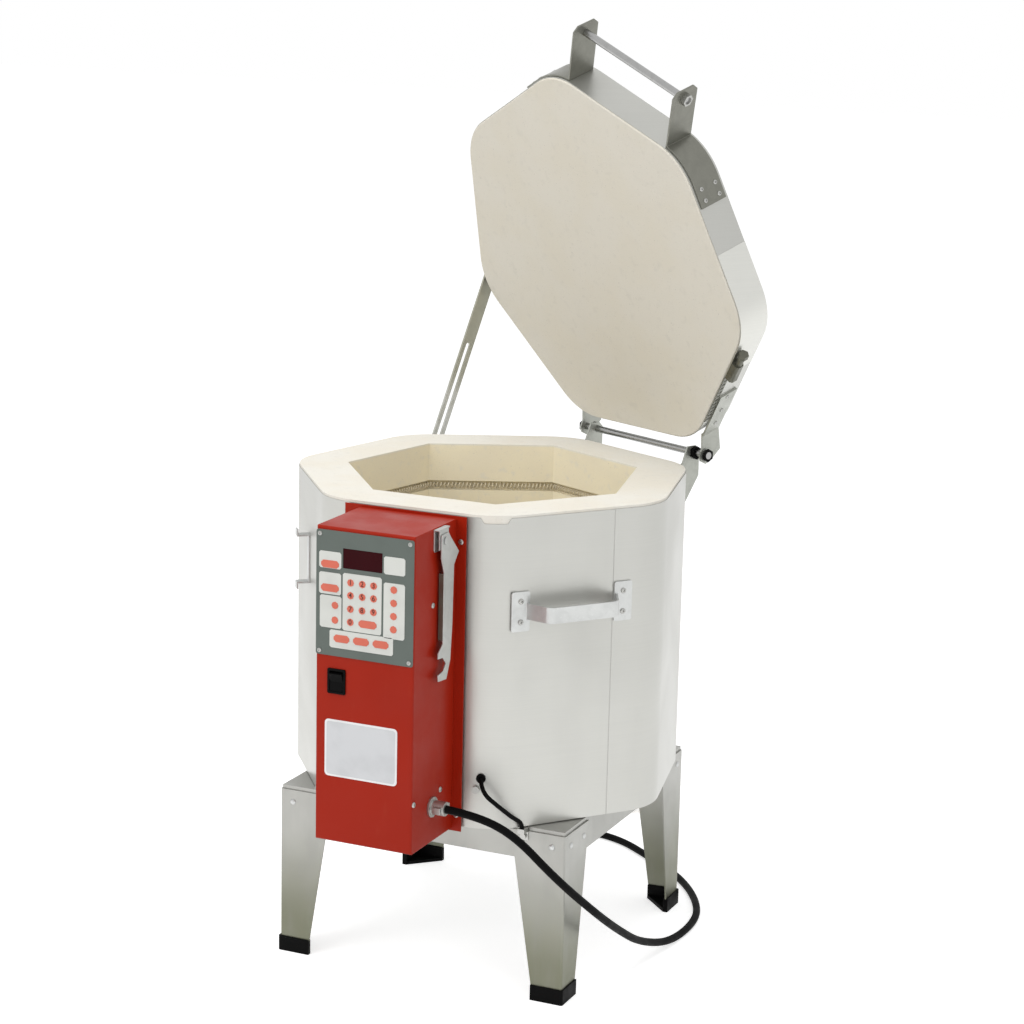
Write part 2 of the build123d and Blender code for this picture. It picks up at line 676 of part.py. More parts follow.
def brace_arm():
    """Slotted flat arm, drawn along its own line and turned to its place."""
    ay, az = brace_point(LID_STUD_ANGLE + LID_OPEN)
    by, bz = brace_point(BODY_STUD_ANGLE)
    cy, cz = brace_point(LID_STUD_ANGLE)
    long = hypot(by - ay, bz - az)
    short = hypot(by - cy, bz - cz)
    slot_width = 2 * (BRACE_STUD_RADIUS + SLOT_CLEARANCE)
    centre = (long + short) / 2
    slot_length = long - short + slot_width
    arm = Pos(long / 2, 0) * SlotOverall(long + 2 * BRACE_END, BRACE_WIDTH)
    arm -= Pos(centre, 0) * SlotOverall(slot_length, slot_width)
    arm -= Circle(BRACE_STUD_RADIUS + RUNNING)
    lean = degrees(asin((by - ay) / long)) - 90
    place = Plane.YZ.offset(brace_face())
    return extrude(place * (Pos(ay, az) * (Rot(0, 0, lean) * arm)), BRACE_STEEL)


def brace():
    """Arm and its two studs."""
    turn = wall(HINGE_WALL)
    body_stud = stud(brace_point(BODY_STUD_ANGLE), 0, RIM_Z)
    save("brace_stud", turn * body_stud)
    save_lid("lid_stud", turn * stud(brace_point(LID_STUD_ANGLE), LID_Z, LID_TOP))
    save("brace_arm", turn * brace_arm())


# Control box

def box_cover():
    """Folded cover, open at the back, with its cut-outs."""
    x = BOX_WIDTH / 2
    shell = block((-x, x), (BOX_FRONT_Y, BOX_BACK_Y), (BOX_FOOT_Z, BOX_TOP_Z))
    front = shell.edges().filter_by(Axis.Z).group_by(Axis.Y)[0]
    shell = fillet(front + shell.edges().filter_by(Axis.X).group_by(Axis.Y)[0], BOX_BEND)
    t = BOX_SHEET
    shell -= block((-x + t, x - t), (BOX_FRONT_Y + t, BOX_BACK_Y + 1), (BOX_FOOT_Z + t, BOX_TOP_Z - t))
    cut = (BOX_FRONT_Y - 1, BOX_FRONT_Y + 5)
    half_w, half_h = FACE_WIDTH / 2 - 10, FACE_HEIGHT / 2 - 10
    shell -= block((-half_w, half_w), cut, (FACE_MID_Z - half_h, FACE_MID_Z + half_h))
    sx, sz = SWITCH_OFFSET, BOX_TOP_Z - SWITCH_DROP
    half_w, half_h = SWITCH_WIDTH / 2 - 1.5, SWITCH_HEIGHT / 2 - 1.5
    shell -= block((sx - half_w, sx + half_w), cut, (sz - half_h, sz + half_h))
    shell -= bar_x(CORD_RADIUS + 3, 0, 2 * x, CLAMP_Y, CLAMP_Z)
    return shell


def back_plate():
    """Plate behind the box, wider than it, with holes for the tubes."""
    low, high = BOX_FOOT_Z - BACK_PLATE_MARGIN, BOX_TOP_Z + BACK_PLATE_MARGIN
    plate = block((-BACK_PLATE_LEFT, BACK_PLATE_RIGHT), (BOX_BACK_Y, BOX_BACK_Y + BOX_SHEET), (low, high))
    for course in range(COURSES):
        z = WALL_Z + (course + 0.5) * COURSE_HEIGHT
        for side in (-1, 1):
            bore = PORCELAIN_RADIUS + HOLE_CLEARANCE
            plate -= bar_y(bore, -2 * JACKET_FACE, 0, side * TAIL_SPACING / 2, z)
    z = WALL_Z + 1.5 * COURSE_HEIGHT + THERMOCOUPLE_RISE
    return plate - bar_y(THERMOCOUPLE_RADIUS + HOLE_CLEARANCE, -2 * JACKET_FACE, 0, 0, z)


def spacers():
    """Four bushes that hold the back plate off the jacket."""
    bushes = []
    for x in (3 - BOX_WIDTH / 2, BOX_WIDTH / 2 - 3):
        for z in (BOX_FOOT_Z + 40, BOX_TOP_Z - 30):
            bushes.append(bar_y(7, BOX_BACK_Y + BOX_SHEET, -JACKET_FACE, x, z))
    return bushes


def faceplate():
    """Controller plate with its display window."""
    y = BOX_FRONT_Y - FACE_SHEET
    half_w, half_h = FACE_WIDTH / 2, FACE_HEIGHT / 2
    plate = block((-half_w, half_w), (y, BOX_FRONT_Y), (FACE_MID_Z - half_h, FACE_MID_Z + half_h))
    plate = fillet(plate.edges().filter_by(Axis.Y), 3)
    z = FACE_TOP_Z - DISPLAY_DROP
    half_w, half_h = DISPLAY_WIDTH / 2, DISPLAY_HEIGHT / 2
    return plate - block((-2.8 - half_w, -2.8 + half_w), (y - 1, y + 3), (z - half_h, z + half_h))


KEY_PANELS = [
    (-45.5, 574.0, 29.5, 20.5), (39.5, 576.5, 28.0, 21.5), (-45.5, 545.5, 29.5, 26.5),
    (-44.5, 511.0, 29.0, 39.5), (-2.8, 525.5, 51.6, 70.0), (39.5, 522.0, 28.0, 67.5),
    (-3.5, 478.5, 84.5, 22.0),
]


def keypad():
    """Flat key panels and their raised key pads on the controller plate."""
    face = BOX_FRONT_Y - FACE_SHEET
    rise = RIM_Z - 619.9
    panels = []
    for x, z, width, height in KEY_PANELS:
        sheet = chamfer(Rectangle(width, height).vertices(), 2)
        panels.append(Pos(x, face, z + rise) * Rot(90, 0, 0) * extrude(sheet, KEY_PANEL))
    save("keypad", *panels)
    top = face - KEY_PANEL
    keys = []
    rounds = [(x, z) for z in (549.5, 534.0, 517.5) for x in (-18.0, -2.5, 12.5)]
    rounds += [(-18.0, 501.5)] + [(39.0, z) for z in (548.0, 532.0, 516.0, 500.0)]
    rounds += [(-38.5, 519.5), (-38.5, 501.5)]
    wides = [(-45.5, 540.0, 24.0), (5.0, 501.5, 24.0), (-29.5, 479.5, 21.0), (-3.5, 479.5, 21.0),
             (22.5, 479.5, 21.0), (-45.5, 569.0, 24.0)]
    for x, z in rounds:
        keys.append(Pos(x, top, z + rise) * Rot(90, 0, 0) * extrude(RegularPolygon(KEY_RADIUS, 8), KEY_HEIGHT))
    for x, z, width in wides:
        pad = chamfer(Rectangle(width, 2 * KEY_RADIUS).vertices(), 3)
        keys.append(Pos(x, top, z + rise) * Rot(90, 0, 0) * extrude(pad, KEY_HEIGHT))
    save("keypad", *keys)


def rocker_switch():
    """Switch housing with its bezel, and the rocker that tips in it."""
    x, z = SWITCH_OFFSET, BOX_TOP_Z - SWITCH_DROP
    half_w, half_h = SWITCH_WIDTH / 2, SWITCH_HEIGHT / 2
    bezel = block((x - half_w, x + half_w), (BOX_FRONT_Y - 2, BOX_FRONT_Y), (z - half_h, z + half_h))
    bezel = fillet(bezel.edges().filter_by(Axis.Y), 2)
    deep = BOX_FRONT_Y + 22
    bezel += block((x - half_w + 1.5, x + half_w - 1.5), (BOX_FRONT_Y, deep), (z - half_h + 1.5, z + half_h - 1.5))
    well_w, well_h = half_w - 3, half_h - 3
    bezel -= block((x - well_w, x + well_w), (BOX_FRONT_Y - 3, BOX_FRONT_Y + 12), (z - well_h, z + well_h))
    pivot_y = BOX_FRONT_Y + 4
    bezel -= rod_x(ROCKER_PIN_RADIUS + RUNNING, x - well_w - 1, x + well_w + 1, pivot_y, z)
    save("switch_housing", bezel)
    wide, tall = 2 * well_w - 0.8, 2 * well_h - 1.6
    arc = tall / 2
    shape = [(pivot_y - 7.5, z - arc + 0.6), (pivot_y - 5, z), (pivot_y - 7.5, z + arc - 0.6), (pivot_y + 1, z + arc - 1.4),
             (pivot_y + 5, z + 3), (pivot_y + 5, z - 3), (pivot_y + 1, z - arc + 1.4)]
    rocker = plate_x(shape, x - wide / 2, wide)
    rocker += rod_x(ROCKER_PIN_RADIUS, x - well_w - 0.8, x + well_w + 0.8, pivot_y, z)
    save("switch_rocker", rocker.rotate(Axis((x, pivot_y, z), (1, 0, 0)), ROCKER_TILT))


def controls_inside():
    """Board, display, relays, transformer and terminal blocks inside the box."""
    front = BOX_FRONT_Y
    z = FACE_MID_Z
    board = block((-52, 52), (front + 12, front + 13.6), (z - 60, z + 60))
    save("circuit_board", board)
    posts = [bar_y(2.5, front, front + 12, sx * 48, z + sz * 56) for sx in (-1, 1) for sz in (-1, 1)]
    save("spacers", *posts)
    dz = FACE_TOP_Z - DISPLAY_DROP
    half_w, half_h = DISPLAY_WIDTH / 2 - 0.2, DISPLAY_HEIGHT / 2 - 0.2
    pane = block((-2.8 - half_w, -2.8 + half_w), (front - 1, front + 12), (dz - half_h, dz + half_h))
    save("display_module", pane)
    back = BOX_BACK_Y
    bay = WALL_Z + COURSE_HEIGHT
    relays = [block((sx - RELAY_SIZE / 2, sx + RELAY_SIZE / 2), (back - 28, back),
                    (bay - RELAY_HEIGHT / 2, bay + RELAY_HEIGHT / 2)) for sx in (-24, 24)]
    save("power_relays", *[chamfer(r.edges().filter_by(Axis.Y), 1.5) for r in relays])
    low = WALL_Z + 2 * COURSE_HEIGHT + 10 - TRANSFORMER_HEIGHT / 2
    high = low + TRANSFORMER_HEIGHT
    core = block((-24, 24), (back - 36, back), (low, high)) - block((-15, -8), (back - 37, back - 8), (low - 1, high + 1))
    core -= block((8, 15), (back - 37, back - 8), (low - 1, high + 1))
    sides = [block(sorted((side * 8.2, side * 15)), (back - 36.9, back - 8.1), (low - 2, high + 2)) for side in (-1, 1)]
    save("transformer", core, *sides, block((-15, 15), (back - 42, back - 37), (low - 2, high + 2)))
    blocks = []
    for course in range(COURSES):
        bz = WALL_Z + (course + 0.5) * COURSE_HEIGHT
        near = back - PORCELAIN_REACH - 6
        bar = block((-30, 30), (near - 12, near), (bz - 8, bz + 8))
        for sx in (-5, 5):
            bar += bar_y(3, near, back, sx, bz - 3)
        blocks.append(bar)
    save("terminal_blocks", *blocks)


def box_screws():
    """Screw heads on the cover, the back plate and the controller plate."""
    x, top, low = BOX_WIDTH / 2, BOX_TOP_Z, BOX_FOOT_Z
    heads = []
    for depth, drop in ((62.0, 93.0), (106.0, 328.0), (34.0, 330.0)):
        heads.append(head_right(x, BOX_BACK_Y - depth, top - drop))
        heads.append(Pos(-x, BOX_BACK_Y - depth, top - drop) * Rot(0, -90, 0) * dome(SCREW_RADIUS, SCREW_HEIGHT))
    for px in (-BACK_PLATE_LEFT + 7, BACK_PLATE_RIGHT - 7):
        for z in (low + 18, top - 28):
            heads.append(head_front(px, BOX_BACK_Y, z))
    save("body_screws", *heads)
    corners = []
    for sx in (-1, 1):
        for sz in (-1, 1):
            px, pz = sx * (FACE_WIDTH / 2 - 5), FACE_MID_Z + sz * (FACE_HEIGHT / 2 - 5)
            corners.append(head_front(px, BOX_FRONT_Y - FACE_SHEET, pz, 2.8, 1.4))
    save("body_screws", *corners)


def cord_clamp():
    """Metal squeeze connector where the power cord leaves the box."""
    x = CLAMP_X
    body = bar_x(13, x, x + 3, CLAMP_Y, CLAMP_Z) + bar_x(9, x + 3, x + CLAMP_LENGTH, CLAMP_Y, CLAMP_Z)
    body += block((x + 8, x + 18), (CLAMP_Y - 14, CLAMP_Y + 14), (CLAMP_Z - 4, CLAMP_Z + 4))
    return body - bar_x(CORD_RADIUS, x - 1, x + 2 * CLAMP_LENGTH, CLAMP_Y, CLAMP_Z, CORD_SIDES)


def control_box():
    """Everything on and in the control box that does not swing."""
    save("box_back_plate", back_plate())
    save("spacers", *spacers())
    save("box_cover", box_cover())
    save("faceplate", faceplate())
    keypad()
    rocker_switch()
    controls_inside()
    box_screws()
    save("cord_clamp", cord_clamp())


# Vent prop

def vent_prop():
    """Bracket with its pin, and the hooked arm that hangs from it."""
    x = BOX_WIDTH / 2
    py, pz = BOX_BACK_Y - PROP_BACK + 12, BOX_TOP_Z - PROP_DROP
    base = block((x, x + PROP_STEEL), (py - 15, py + 15), (pz - 13, pz + 15))
    shelf = block((x, x + PROP_GAP), (py - 15, py + 15), (pz + 13.4, pz + 15))
    ear = block((x + PROP_GAP - PROP_STEEL, x + PROP_GAP), (py - 12, py + 12), (pz - 10, pz + 15))
    arm_x = x + PROP_GAP + 0.4
    pin = rod_x(PROP_PIN_RADIUS, x + 1, arm_x + PROP_STEEL + 0.5, py, pz)
    pin += bar_x(5, arm_x + PROP_STEEL + 0.4, arm_x + PROP_STEEL + 2.2, py, pz)
    save("vent_prop_bracket", fillet((base + shelf + ear).edges().filter_by(Axis.X).group_by(Axis.Z)[0], 4) + pin)
    shape = [(py - 10, pz + 8), (py + 8, pz + 9), (py + 14, pz + 2), (py + 37, pz - 20), (py + 24, pz - 34),
             (py + 22, pz - 108), (py + 18, pz - 150), (py + 8, pz - 172), (py - 14, pz - 170), (py - 15, pz - 162),
             (py - 1, pz - 160), (py + 6, pz - 152), (py - 2, pz - 143), (py - 15, pz - 142), (py - 15, pz - 135),
             (py - 3, pz - 126), (py - 2, pz - 40), (py - 10, pz - 20)]
    arm = plate_x(shape, arm_x, PROP_STEEL)
    arm -= rod_x(PROP_PIN_RADIUS + RUNNING, x, 2 * x, py, pz)
    lip = block((arm_x - 5, arm_x + PROP_STEEL), (py - 3.5, py - 2), (pz - 122, pz - 40))
    save("vent_prop_arm", arm + lip)


# Carrying handle, cord bracket, earth lead

def carrying_handle():
    """Bent strap grip between two screwed plates, on the front right wall."""
    turn = wall(HANDLE_WALL)
    z = RIM_Z - HANDLE_DROP
    half = HANDLE_LENGTH / 2
    face = -JACKET_FACE
    inner = half - HANDLE_PLATE_WIDTH
    grip_line = FilletPolyline((-inner - 4, face - 1.2), (-inner + 12, face - HANDLE_REACH),
                               (inner - 12, face - HANDLE_REACH), (inner + 4, face - 1.2), radius=12)
    grip = prism(trace(grip_line, HANDLE_STEEL), z - HANDLE_GRIP_HEIGHT / 2, z + HANDLE_GRIP_HEIGHT / 2)
    grip -= block((-half, half), (face, face + 10), (z - 40, z + 40))
    for side in (-1, 1):
        span = sorted((side * half, side * inner))
        plate = block(span, (face - HANDLE_STEEL, face), (z - HANDLE_PLATE_HEIGHT / 2, z + HANDLE_PLATE_HEIGHT / 2))
        grip += fillet(plate.edges().filter_by(Axis.Y), 3)
    save("carrying_handle", turn * Pos(HANDLE_ALONG, 0, 0) * grip)
    heads = []
    for side in (-1, 1):
        for rise in (-13, 13):
            x = HANDLE_ALONG + side * (half - HANDLE_PLATE_WIDTH / 2)
            heads.append(turn * head_front(x, face - HANDLE_STEEL, z + rise))
    save("body_screws", *heads)


def cord_bracket():
    """Strip with two lugs on the left front wall, for winding up the cord."""
    turn = wall(BRACKET_WALL)
    face = -JACKET_FACE
    low, high = RIM_Z - 138, RIM_Z - 74
    bar = block((-9, 3), (face - 2, face), (low, high))
    bar += block((-9, 3), (face - 17, face), (high - 2.5, high)) + block((-9, 3), (face - 17, face), (low, low + 2.5))
    bar += block((-9, 3), (face - 17, face - 15), (high - 2.5, high + 7))
    bar += block((-9, 3), (face - 17, face - 15), (low - 7, low + 2.5))
    return turn * bar


def earth_lead():
    """Short lead from a grommet in the jacket to a lug bolted on the stand, and the jacket's bolt."""
    angle = -73.0
    x, y = corner_place(angle)
    turn = Rot(0, 0, angle + 90)
    bush = bar_y(6, -2.5, 0.5, 0, 0, 12)
    grommet = Pos(x, y, LEAD_Z) * turn * (bush - bar_y(LEAD_DIAMETER / 2, -3, 2, 0, 0))
    body = prism(outline(JACKET_FACE, JACKET_CORNER), 0, RIM_Z)
    save("lead_grommet", grommet - body)
    bolt_x, bolt_y = corner_place(-77.5)
    bolt = Pos(bolt_x, bolt_y, 276) * Rot(0, 0, 12.5) * head_front(0, 0.4, 0, 5, 3.4)
    save("body_screws", bolt - body)
    out_x, out_y = cos(radians(angle)), sin(radians(angle))
    lug_x, lug_y, lug_z = LEG_HALF - LUG_ALONG, -LEG_HALF - LUG_OUT, STAND_HEIGHT
    bend_x, bend_y = x + 27 * out_x + 4, y + 27 * out_y
    span_x, span_y, drop = lug_x - bend_x, lug_y - bend_y, LEAD_Z - lug_z
    route = [(x + 0.3 * out_x, y + 0.3 * out_y, LEAD_Z), (x + 17 * out_x, y + 17 * out_y, LEAD_Z),
             (bend_x, bend_y, LEAD_Z - 18), (bend_x + 0.6 * span_x, bend_y + 0.35 * span_y, lug_z + 0.42 * drop),
             (lug_x, lug_y - 2, lug_z + 19), (lug_x, lug_y, lug_z)]
    save("earth_lead", tube_along(route, LEAD_DIAMETER, HEAD_SIDES))
    lug = block((lug_x - 4.5, lug_x + 4.5), (lug_y - 4, -LEG_HALF), (lug_z - 6, lug_z))
    lug -= block((lug_x - 5, lug_x + 5), (-RAIL_HALF - 3, 0), (STAND_HEIGHT - LEG_TOP_DROP, lug_z + 1))
    lug += block((lug_x - 5.5, lug_x + 5.5), (-LEG_HALF - 2, -LEG_HALF), (lug_z - 16.5, lug_z - 5.5))
    lug += bar_y(3.4, -LEG_HALF - 5, -LEG_HALF - 1.9, lug_x, lug_z - 11.5)
    save("earth_lead", lug)


def power_cord():
    """Mains cord from its clamp over the floor to a coil behind the kiln, and the plug."""
    z = CORD_RADIUS
    near_y = COIL_Y - COIL_RADIUS_MEAN
    route = [(CLAMP_X + 1, CLAMP_Y, CLAMP_Z), (CLAMP_X + 46, CLAMP_Y, CLAMP_Z), (171, -300, 254),
             (221, -278, 196), (247, -202, 128), (242, -118, 78), (237, -34, 32), (247, 46, z),
             (252, 120, z), (236, 186, z), (184, 268, z), (110, 332, z), (28, near_y, z),
             (COIL_X + COIL_STUB, near_y, z)]
    save("power_cord", tube_along(route, CORD_DIAMETER, CORD_SIDES))
    half = CORD_RADIUS + 0.5
    coil = RegularPolygon(COIL_RADIUS_MEAN + half, 28) - RegularPolygon(COIL_RADIUS_MEAN - half, 28)
    bundle = Pos(COIL_X, COIL_Y, 0) * extrude(coil, COIL_HEIGHT)
    far_y = COIL_Y + COIL_RADIUS_MEAN
    top = COIL_HEIGHT - half
    bundle += bar_x(CORD_RADIUS, COIL_X, COIL_X + COIL_STUB, near_y, z, CORD_SIDES)
    bundle += bar_x(CORD_RADIUS, COIL_X, COIL_X + COIL_STUB, far_y, top, CORD_SIDES)
    save("power_cord_coil", bundle)
    start = COIL_X + COIL_STUB
    neck = extrude(RegularPolygon(CORD_RADIUS + 2, 12), 28, taper=-6)
    body = Pos(start, far_y, top) * Rot(0, 90, 0) * neck + bar_x(top, start + 28, start + 62, far_y, top)
    save("power_plug", body)
    blades = []
    for side in (-1, 1):
        blades.append(block((start + 62, start + 82), (far_y + side * 7 - 1, far_y + side * 7 + 1), (top - 8, top + 3)))
    blades.append(bar_x(3, start + 62, start + 84, far_y, top + 8.5, 8))
    save("plug_blades", *blades)


def main():
    brickwork()
    shell_pieces()
    stand()
    hinge_pieces()
    lid()
    brace()
    control_box()
    vent_prop()
    carrying_handle()
    save("cord_bracket", cord_bracket())
    earth_lead()
    power_cord()


main()
boxes = [s.bounding_box() for name, solids in NODES.items() if name not in CORD_NODES for s in solids]
middle_x = (min(b.min.X for b in boxes) + max(b.max.X for b in boxes)) / 2
middle_y = (min(b.min.Y for b in boxes) + max(b.max.Y for b in boxes)) / 2
SHIFT = Pos(-middle_x, -middle_y, 0)
print("kiln axis at", round(-middle_x, 4), round(-middle_y, 4))
os.makedirs("parts", exist_ok=True)
for name, solids in NODES.items():
    shape = solids[0] if len(solids) == 1 else Compound(solids)
    export_step(SHIFT * shape, f"parts/{name}.step")
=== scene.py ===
import bpy
import bmesh
import json
from math import atan2, cos, floor, pi, radians, sin
from mathutils import Matrix, Vector

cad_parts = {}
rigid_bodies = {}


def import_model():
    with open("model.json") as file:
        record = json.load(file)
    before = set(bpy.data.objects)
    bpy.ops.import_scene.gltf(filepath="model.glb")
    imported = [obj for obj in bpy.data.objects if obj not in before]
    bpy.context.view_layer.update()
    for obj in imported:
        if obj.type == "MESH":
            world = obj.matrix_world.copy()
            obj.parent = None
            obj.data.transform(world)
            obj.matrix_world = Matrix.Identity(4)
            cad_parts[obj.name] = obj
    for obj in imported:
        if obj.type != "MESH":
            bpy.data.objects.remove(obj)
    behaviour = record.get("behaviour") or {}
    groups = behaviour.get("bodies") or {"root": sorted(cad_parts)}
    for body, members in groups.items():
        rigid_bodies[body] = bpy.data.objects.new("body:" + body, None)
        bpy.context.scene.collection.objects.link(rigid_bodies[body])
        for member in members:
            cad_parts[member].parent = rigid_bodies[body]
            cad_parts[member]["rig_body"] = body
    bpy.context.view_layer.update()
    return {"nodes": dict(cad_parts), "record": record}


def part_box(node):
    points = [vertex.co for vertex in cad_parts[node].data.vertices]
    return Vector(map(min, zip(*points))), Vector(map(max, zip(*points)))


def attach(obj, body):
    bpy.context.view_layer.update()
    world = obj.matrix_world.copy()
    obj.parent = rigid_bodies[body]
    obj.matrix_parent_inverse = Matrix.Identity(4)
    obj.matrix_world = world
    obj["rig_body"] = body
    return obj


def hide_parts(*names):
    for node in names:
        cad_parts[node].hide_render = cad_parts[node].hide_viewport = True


bl_info = {
    "name": "Electric Kiln",
    "version": (1, 0, 0),
    "blender": (4, 5, 0),
    "location": "View3D > Sidebar > Kiln",
    "description": "Dresses the packed electric kiln with its finishes, coils, fasteners and cord",
    "category": "Object",
}

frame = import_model()
NODES = frame["nodes"]
FEET = [Vector(m["pos_m"]) for m in frame["record"]["mounts"] if m["name"].startswith("foot_")]
KILN_AXIS = sum(FEET, Vector()) / len(FEET)
STEP = 2 * pi / 7


def at(x, y, z):
    """Point given in millimetres about the kiln's own axis."""
    return KILN_AXIS + Vector((x, y, z)) / 1000


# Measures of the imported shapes, in millimetres from the kiln's axis and the floor
WALL_INSIDE = 176.85
GROOVE_CORNER = 14.0
BAND_FACE, BAND_CORNER, BAND_HEIGHTS = 238.4, 79.05, (622.7, 671.0)
SEAM_ALONG, SEAM_OUT, SEAM_HEIGHTS = (47.0, 47.6), (237.36, 238.15), (226.5, 616.5)
PLATE_ACROSS, PLATE_UP, PLATE_RIM = (-52, 45), (307, 378), 2.5
LUG_TOP = 227
COIL_CENTRE, COIL_RING, COIL_LIFT = (-110, 459), 66, 11
NUMBER_BLOCK = (-24, 18)

# Lengths in metres, and a count, by which parts of a node's mesh are told apart
HOOK_LIP, KEY_RADIUS, MERGE = 0.0052, 0.0055, 2e-6
PLAIN_HEAD_CORNERS = 16

# The photograph's camera: degrees, metres, millimetres and pixels
PHOTO_ANGLES = (24.23, 12.88, 1.30)
PHOTO_DISTANCE = 3.4976
PHOTO_TARGET = (23.34, 9.31, 567.03)
PHOTO_FOCAL, PHOTO_WIDTH, SENSOR = 2713.5, 1024, 36

# Studio lamps: name, place in millimetres, width in metres and watts
LAMPS = (("key", (-1500, -2600, 2200), 2.2, 34), ("fill", (2400, -1700, 1400), 2.0, 13),
         ("top", (-100, -500, 3200), 2.4, 34))


def measure(name, text, value):
    """Length property."""
    return bpy.props.FloatProperty(name=name, description=text, default=value, unit="LENGTH")


class KilnSizes(bpy.types.PropertyGroup):
    brick_edge: measure("Brick edge", "Worn rounding of the firebrick edges", 0.0008)
    sheet_edge: measure("Sheet edge", "Rounding of cut sheet metal", 0.0004)
    box_edge: measure("Box edge", "Rounding of the painted box's hems", 0.0006)
    coil_radius: measure("Coil radius", "Radius of the heating coil's windings", 0.0034)
    wire_radius: measure("Wire radius", "Radius of the heating wire", 0.0008)
    coil_turns: bpy.props.IntProperty(
        name="Coil turns", description="Turns of each heating coil round the chamber", default=230)
    cord_diameter: measure("Cord diameter", "Outer diameter of the mains cord", 0.010)
    lead_diameter: measure("Lead diameter", "Outer diameter of the earth lead", 0.0055)


def tint(name, text, value):
    """Colour property."""
    return bpy.props.FloatVectorProperty(
        name=name, description=text, subtype="COLOR", size=3, min=0, max=1, default=value)


class KilnColours(bpy.types.PropertyGroup):
    firebrick: tint("Firebrick", "Insulating firebrick of the walls and rim", (0.84, 0.815, 0.745))
    slab: tint("Slab", "Coated face of the lid and floor slabs", (0.72, 0.685, 0.60))
    stainless: tint("Stainless", "Satin sheet of the jacket and the lid's band", (0.53, 0.53, 0.50))
    stand: tint("Stand", "Upper part of the stand's legs", (0.42, 0.42, 0.395))
    stand_foot: tint("Stand foot", "Lower part of the stand's legs", (0.17, 0.175, 0.115))
    paint: tint("Box paint", "Powder coat of the control box", (0.35, 0.017, 0.005))
    face: tint("Controller face", "Film on the controller plate", (0.10, 0.122, 0.107))
    panel: tint("Key panel", "Pale panels of the keypad", (0.66, 0.67, 0.63))
    key: tint("Key", "Printed keys", (0.66, 0.14, 0.085))
    bracket: tint("Bracket", "Dark plated brackets of the lid", (0.22, 0.22, 0.19))
    brace: tint("Brace", "Slotted arm of the brace", (0.44, 0.435, 0.36))
    zinc: tint("Zinc", "Galvanised sheet", (0.58, 0.59, 0.58))


# Shader building

def maths(nodes, kind, operation):
    """Maths node set to an operation."""
    node = nodes.new(f"ShaderNode{kind}")
    node.operation = operation
    return node


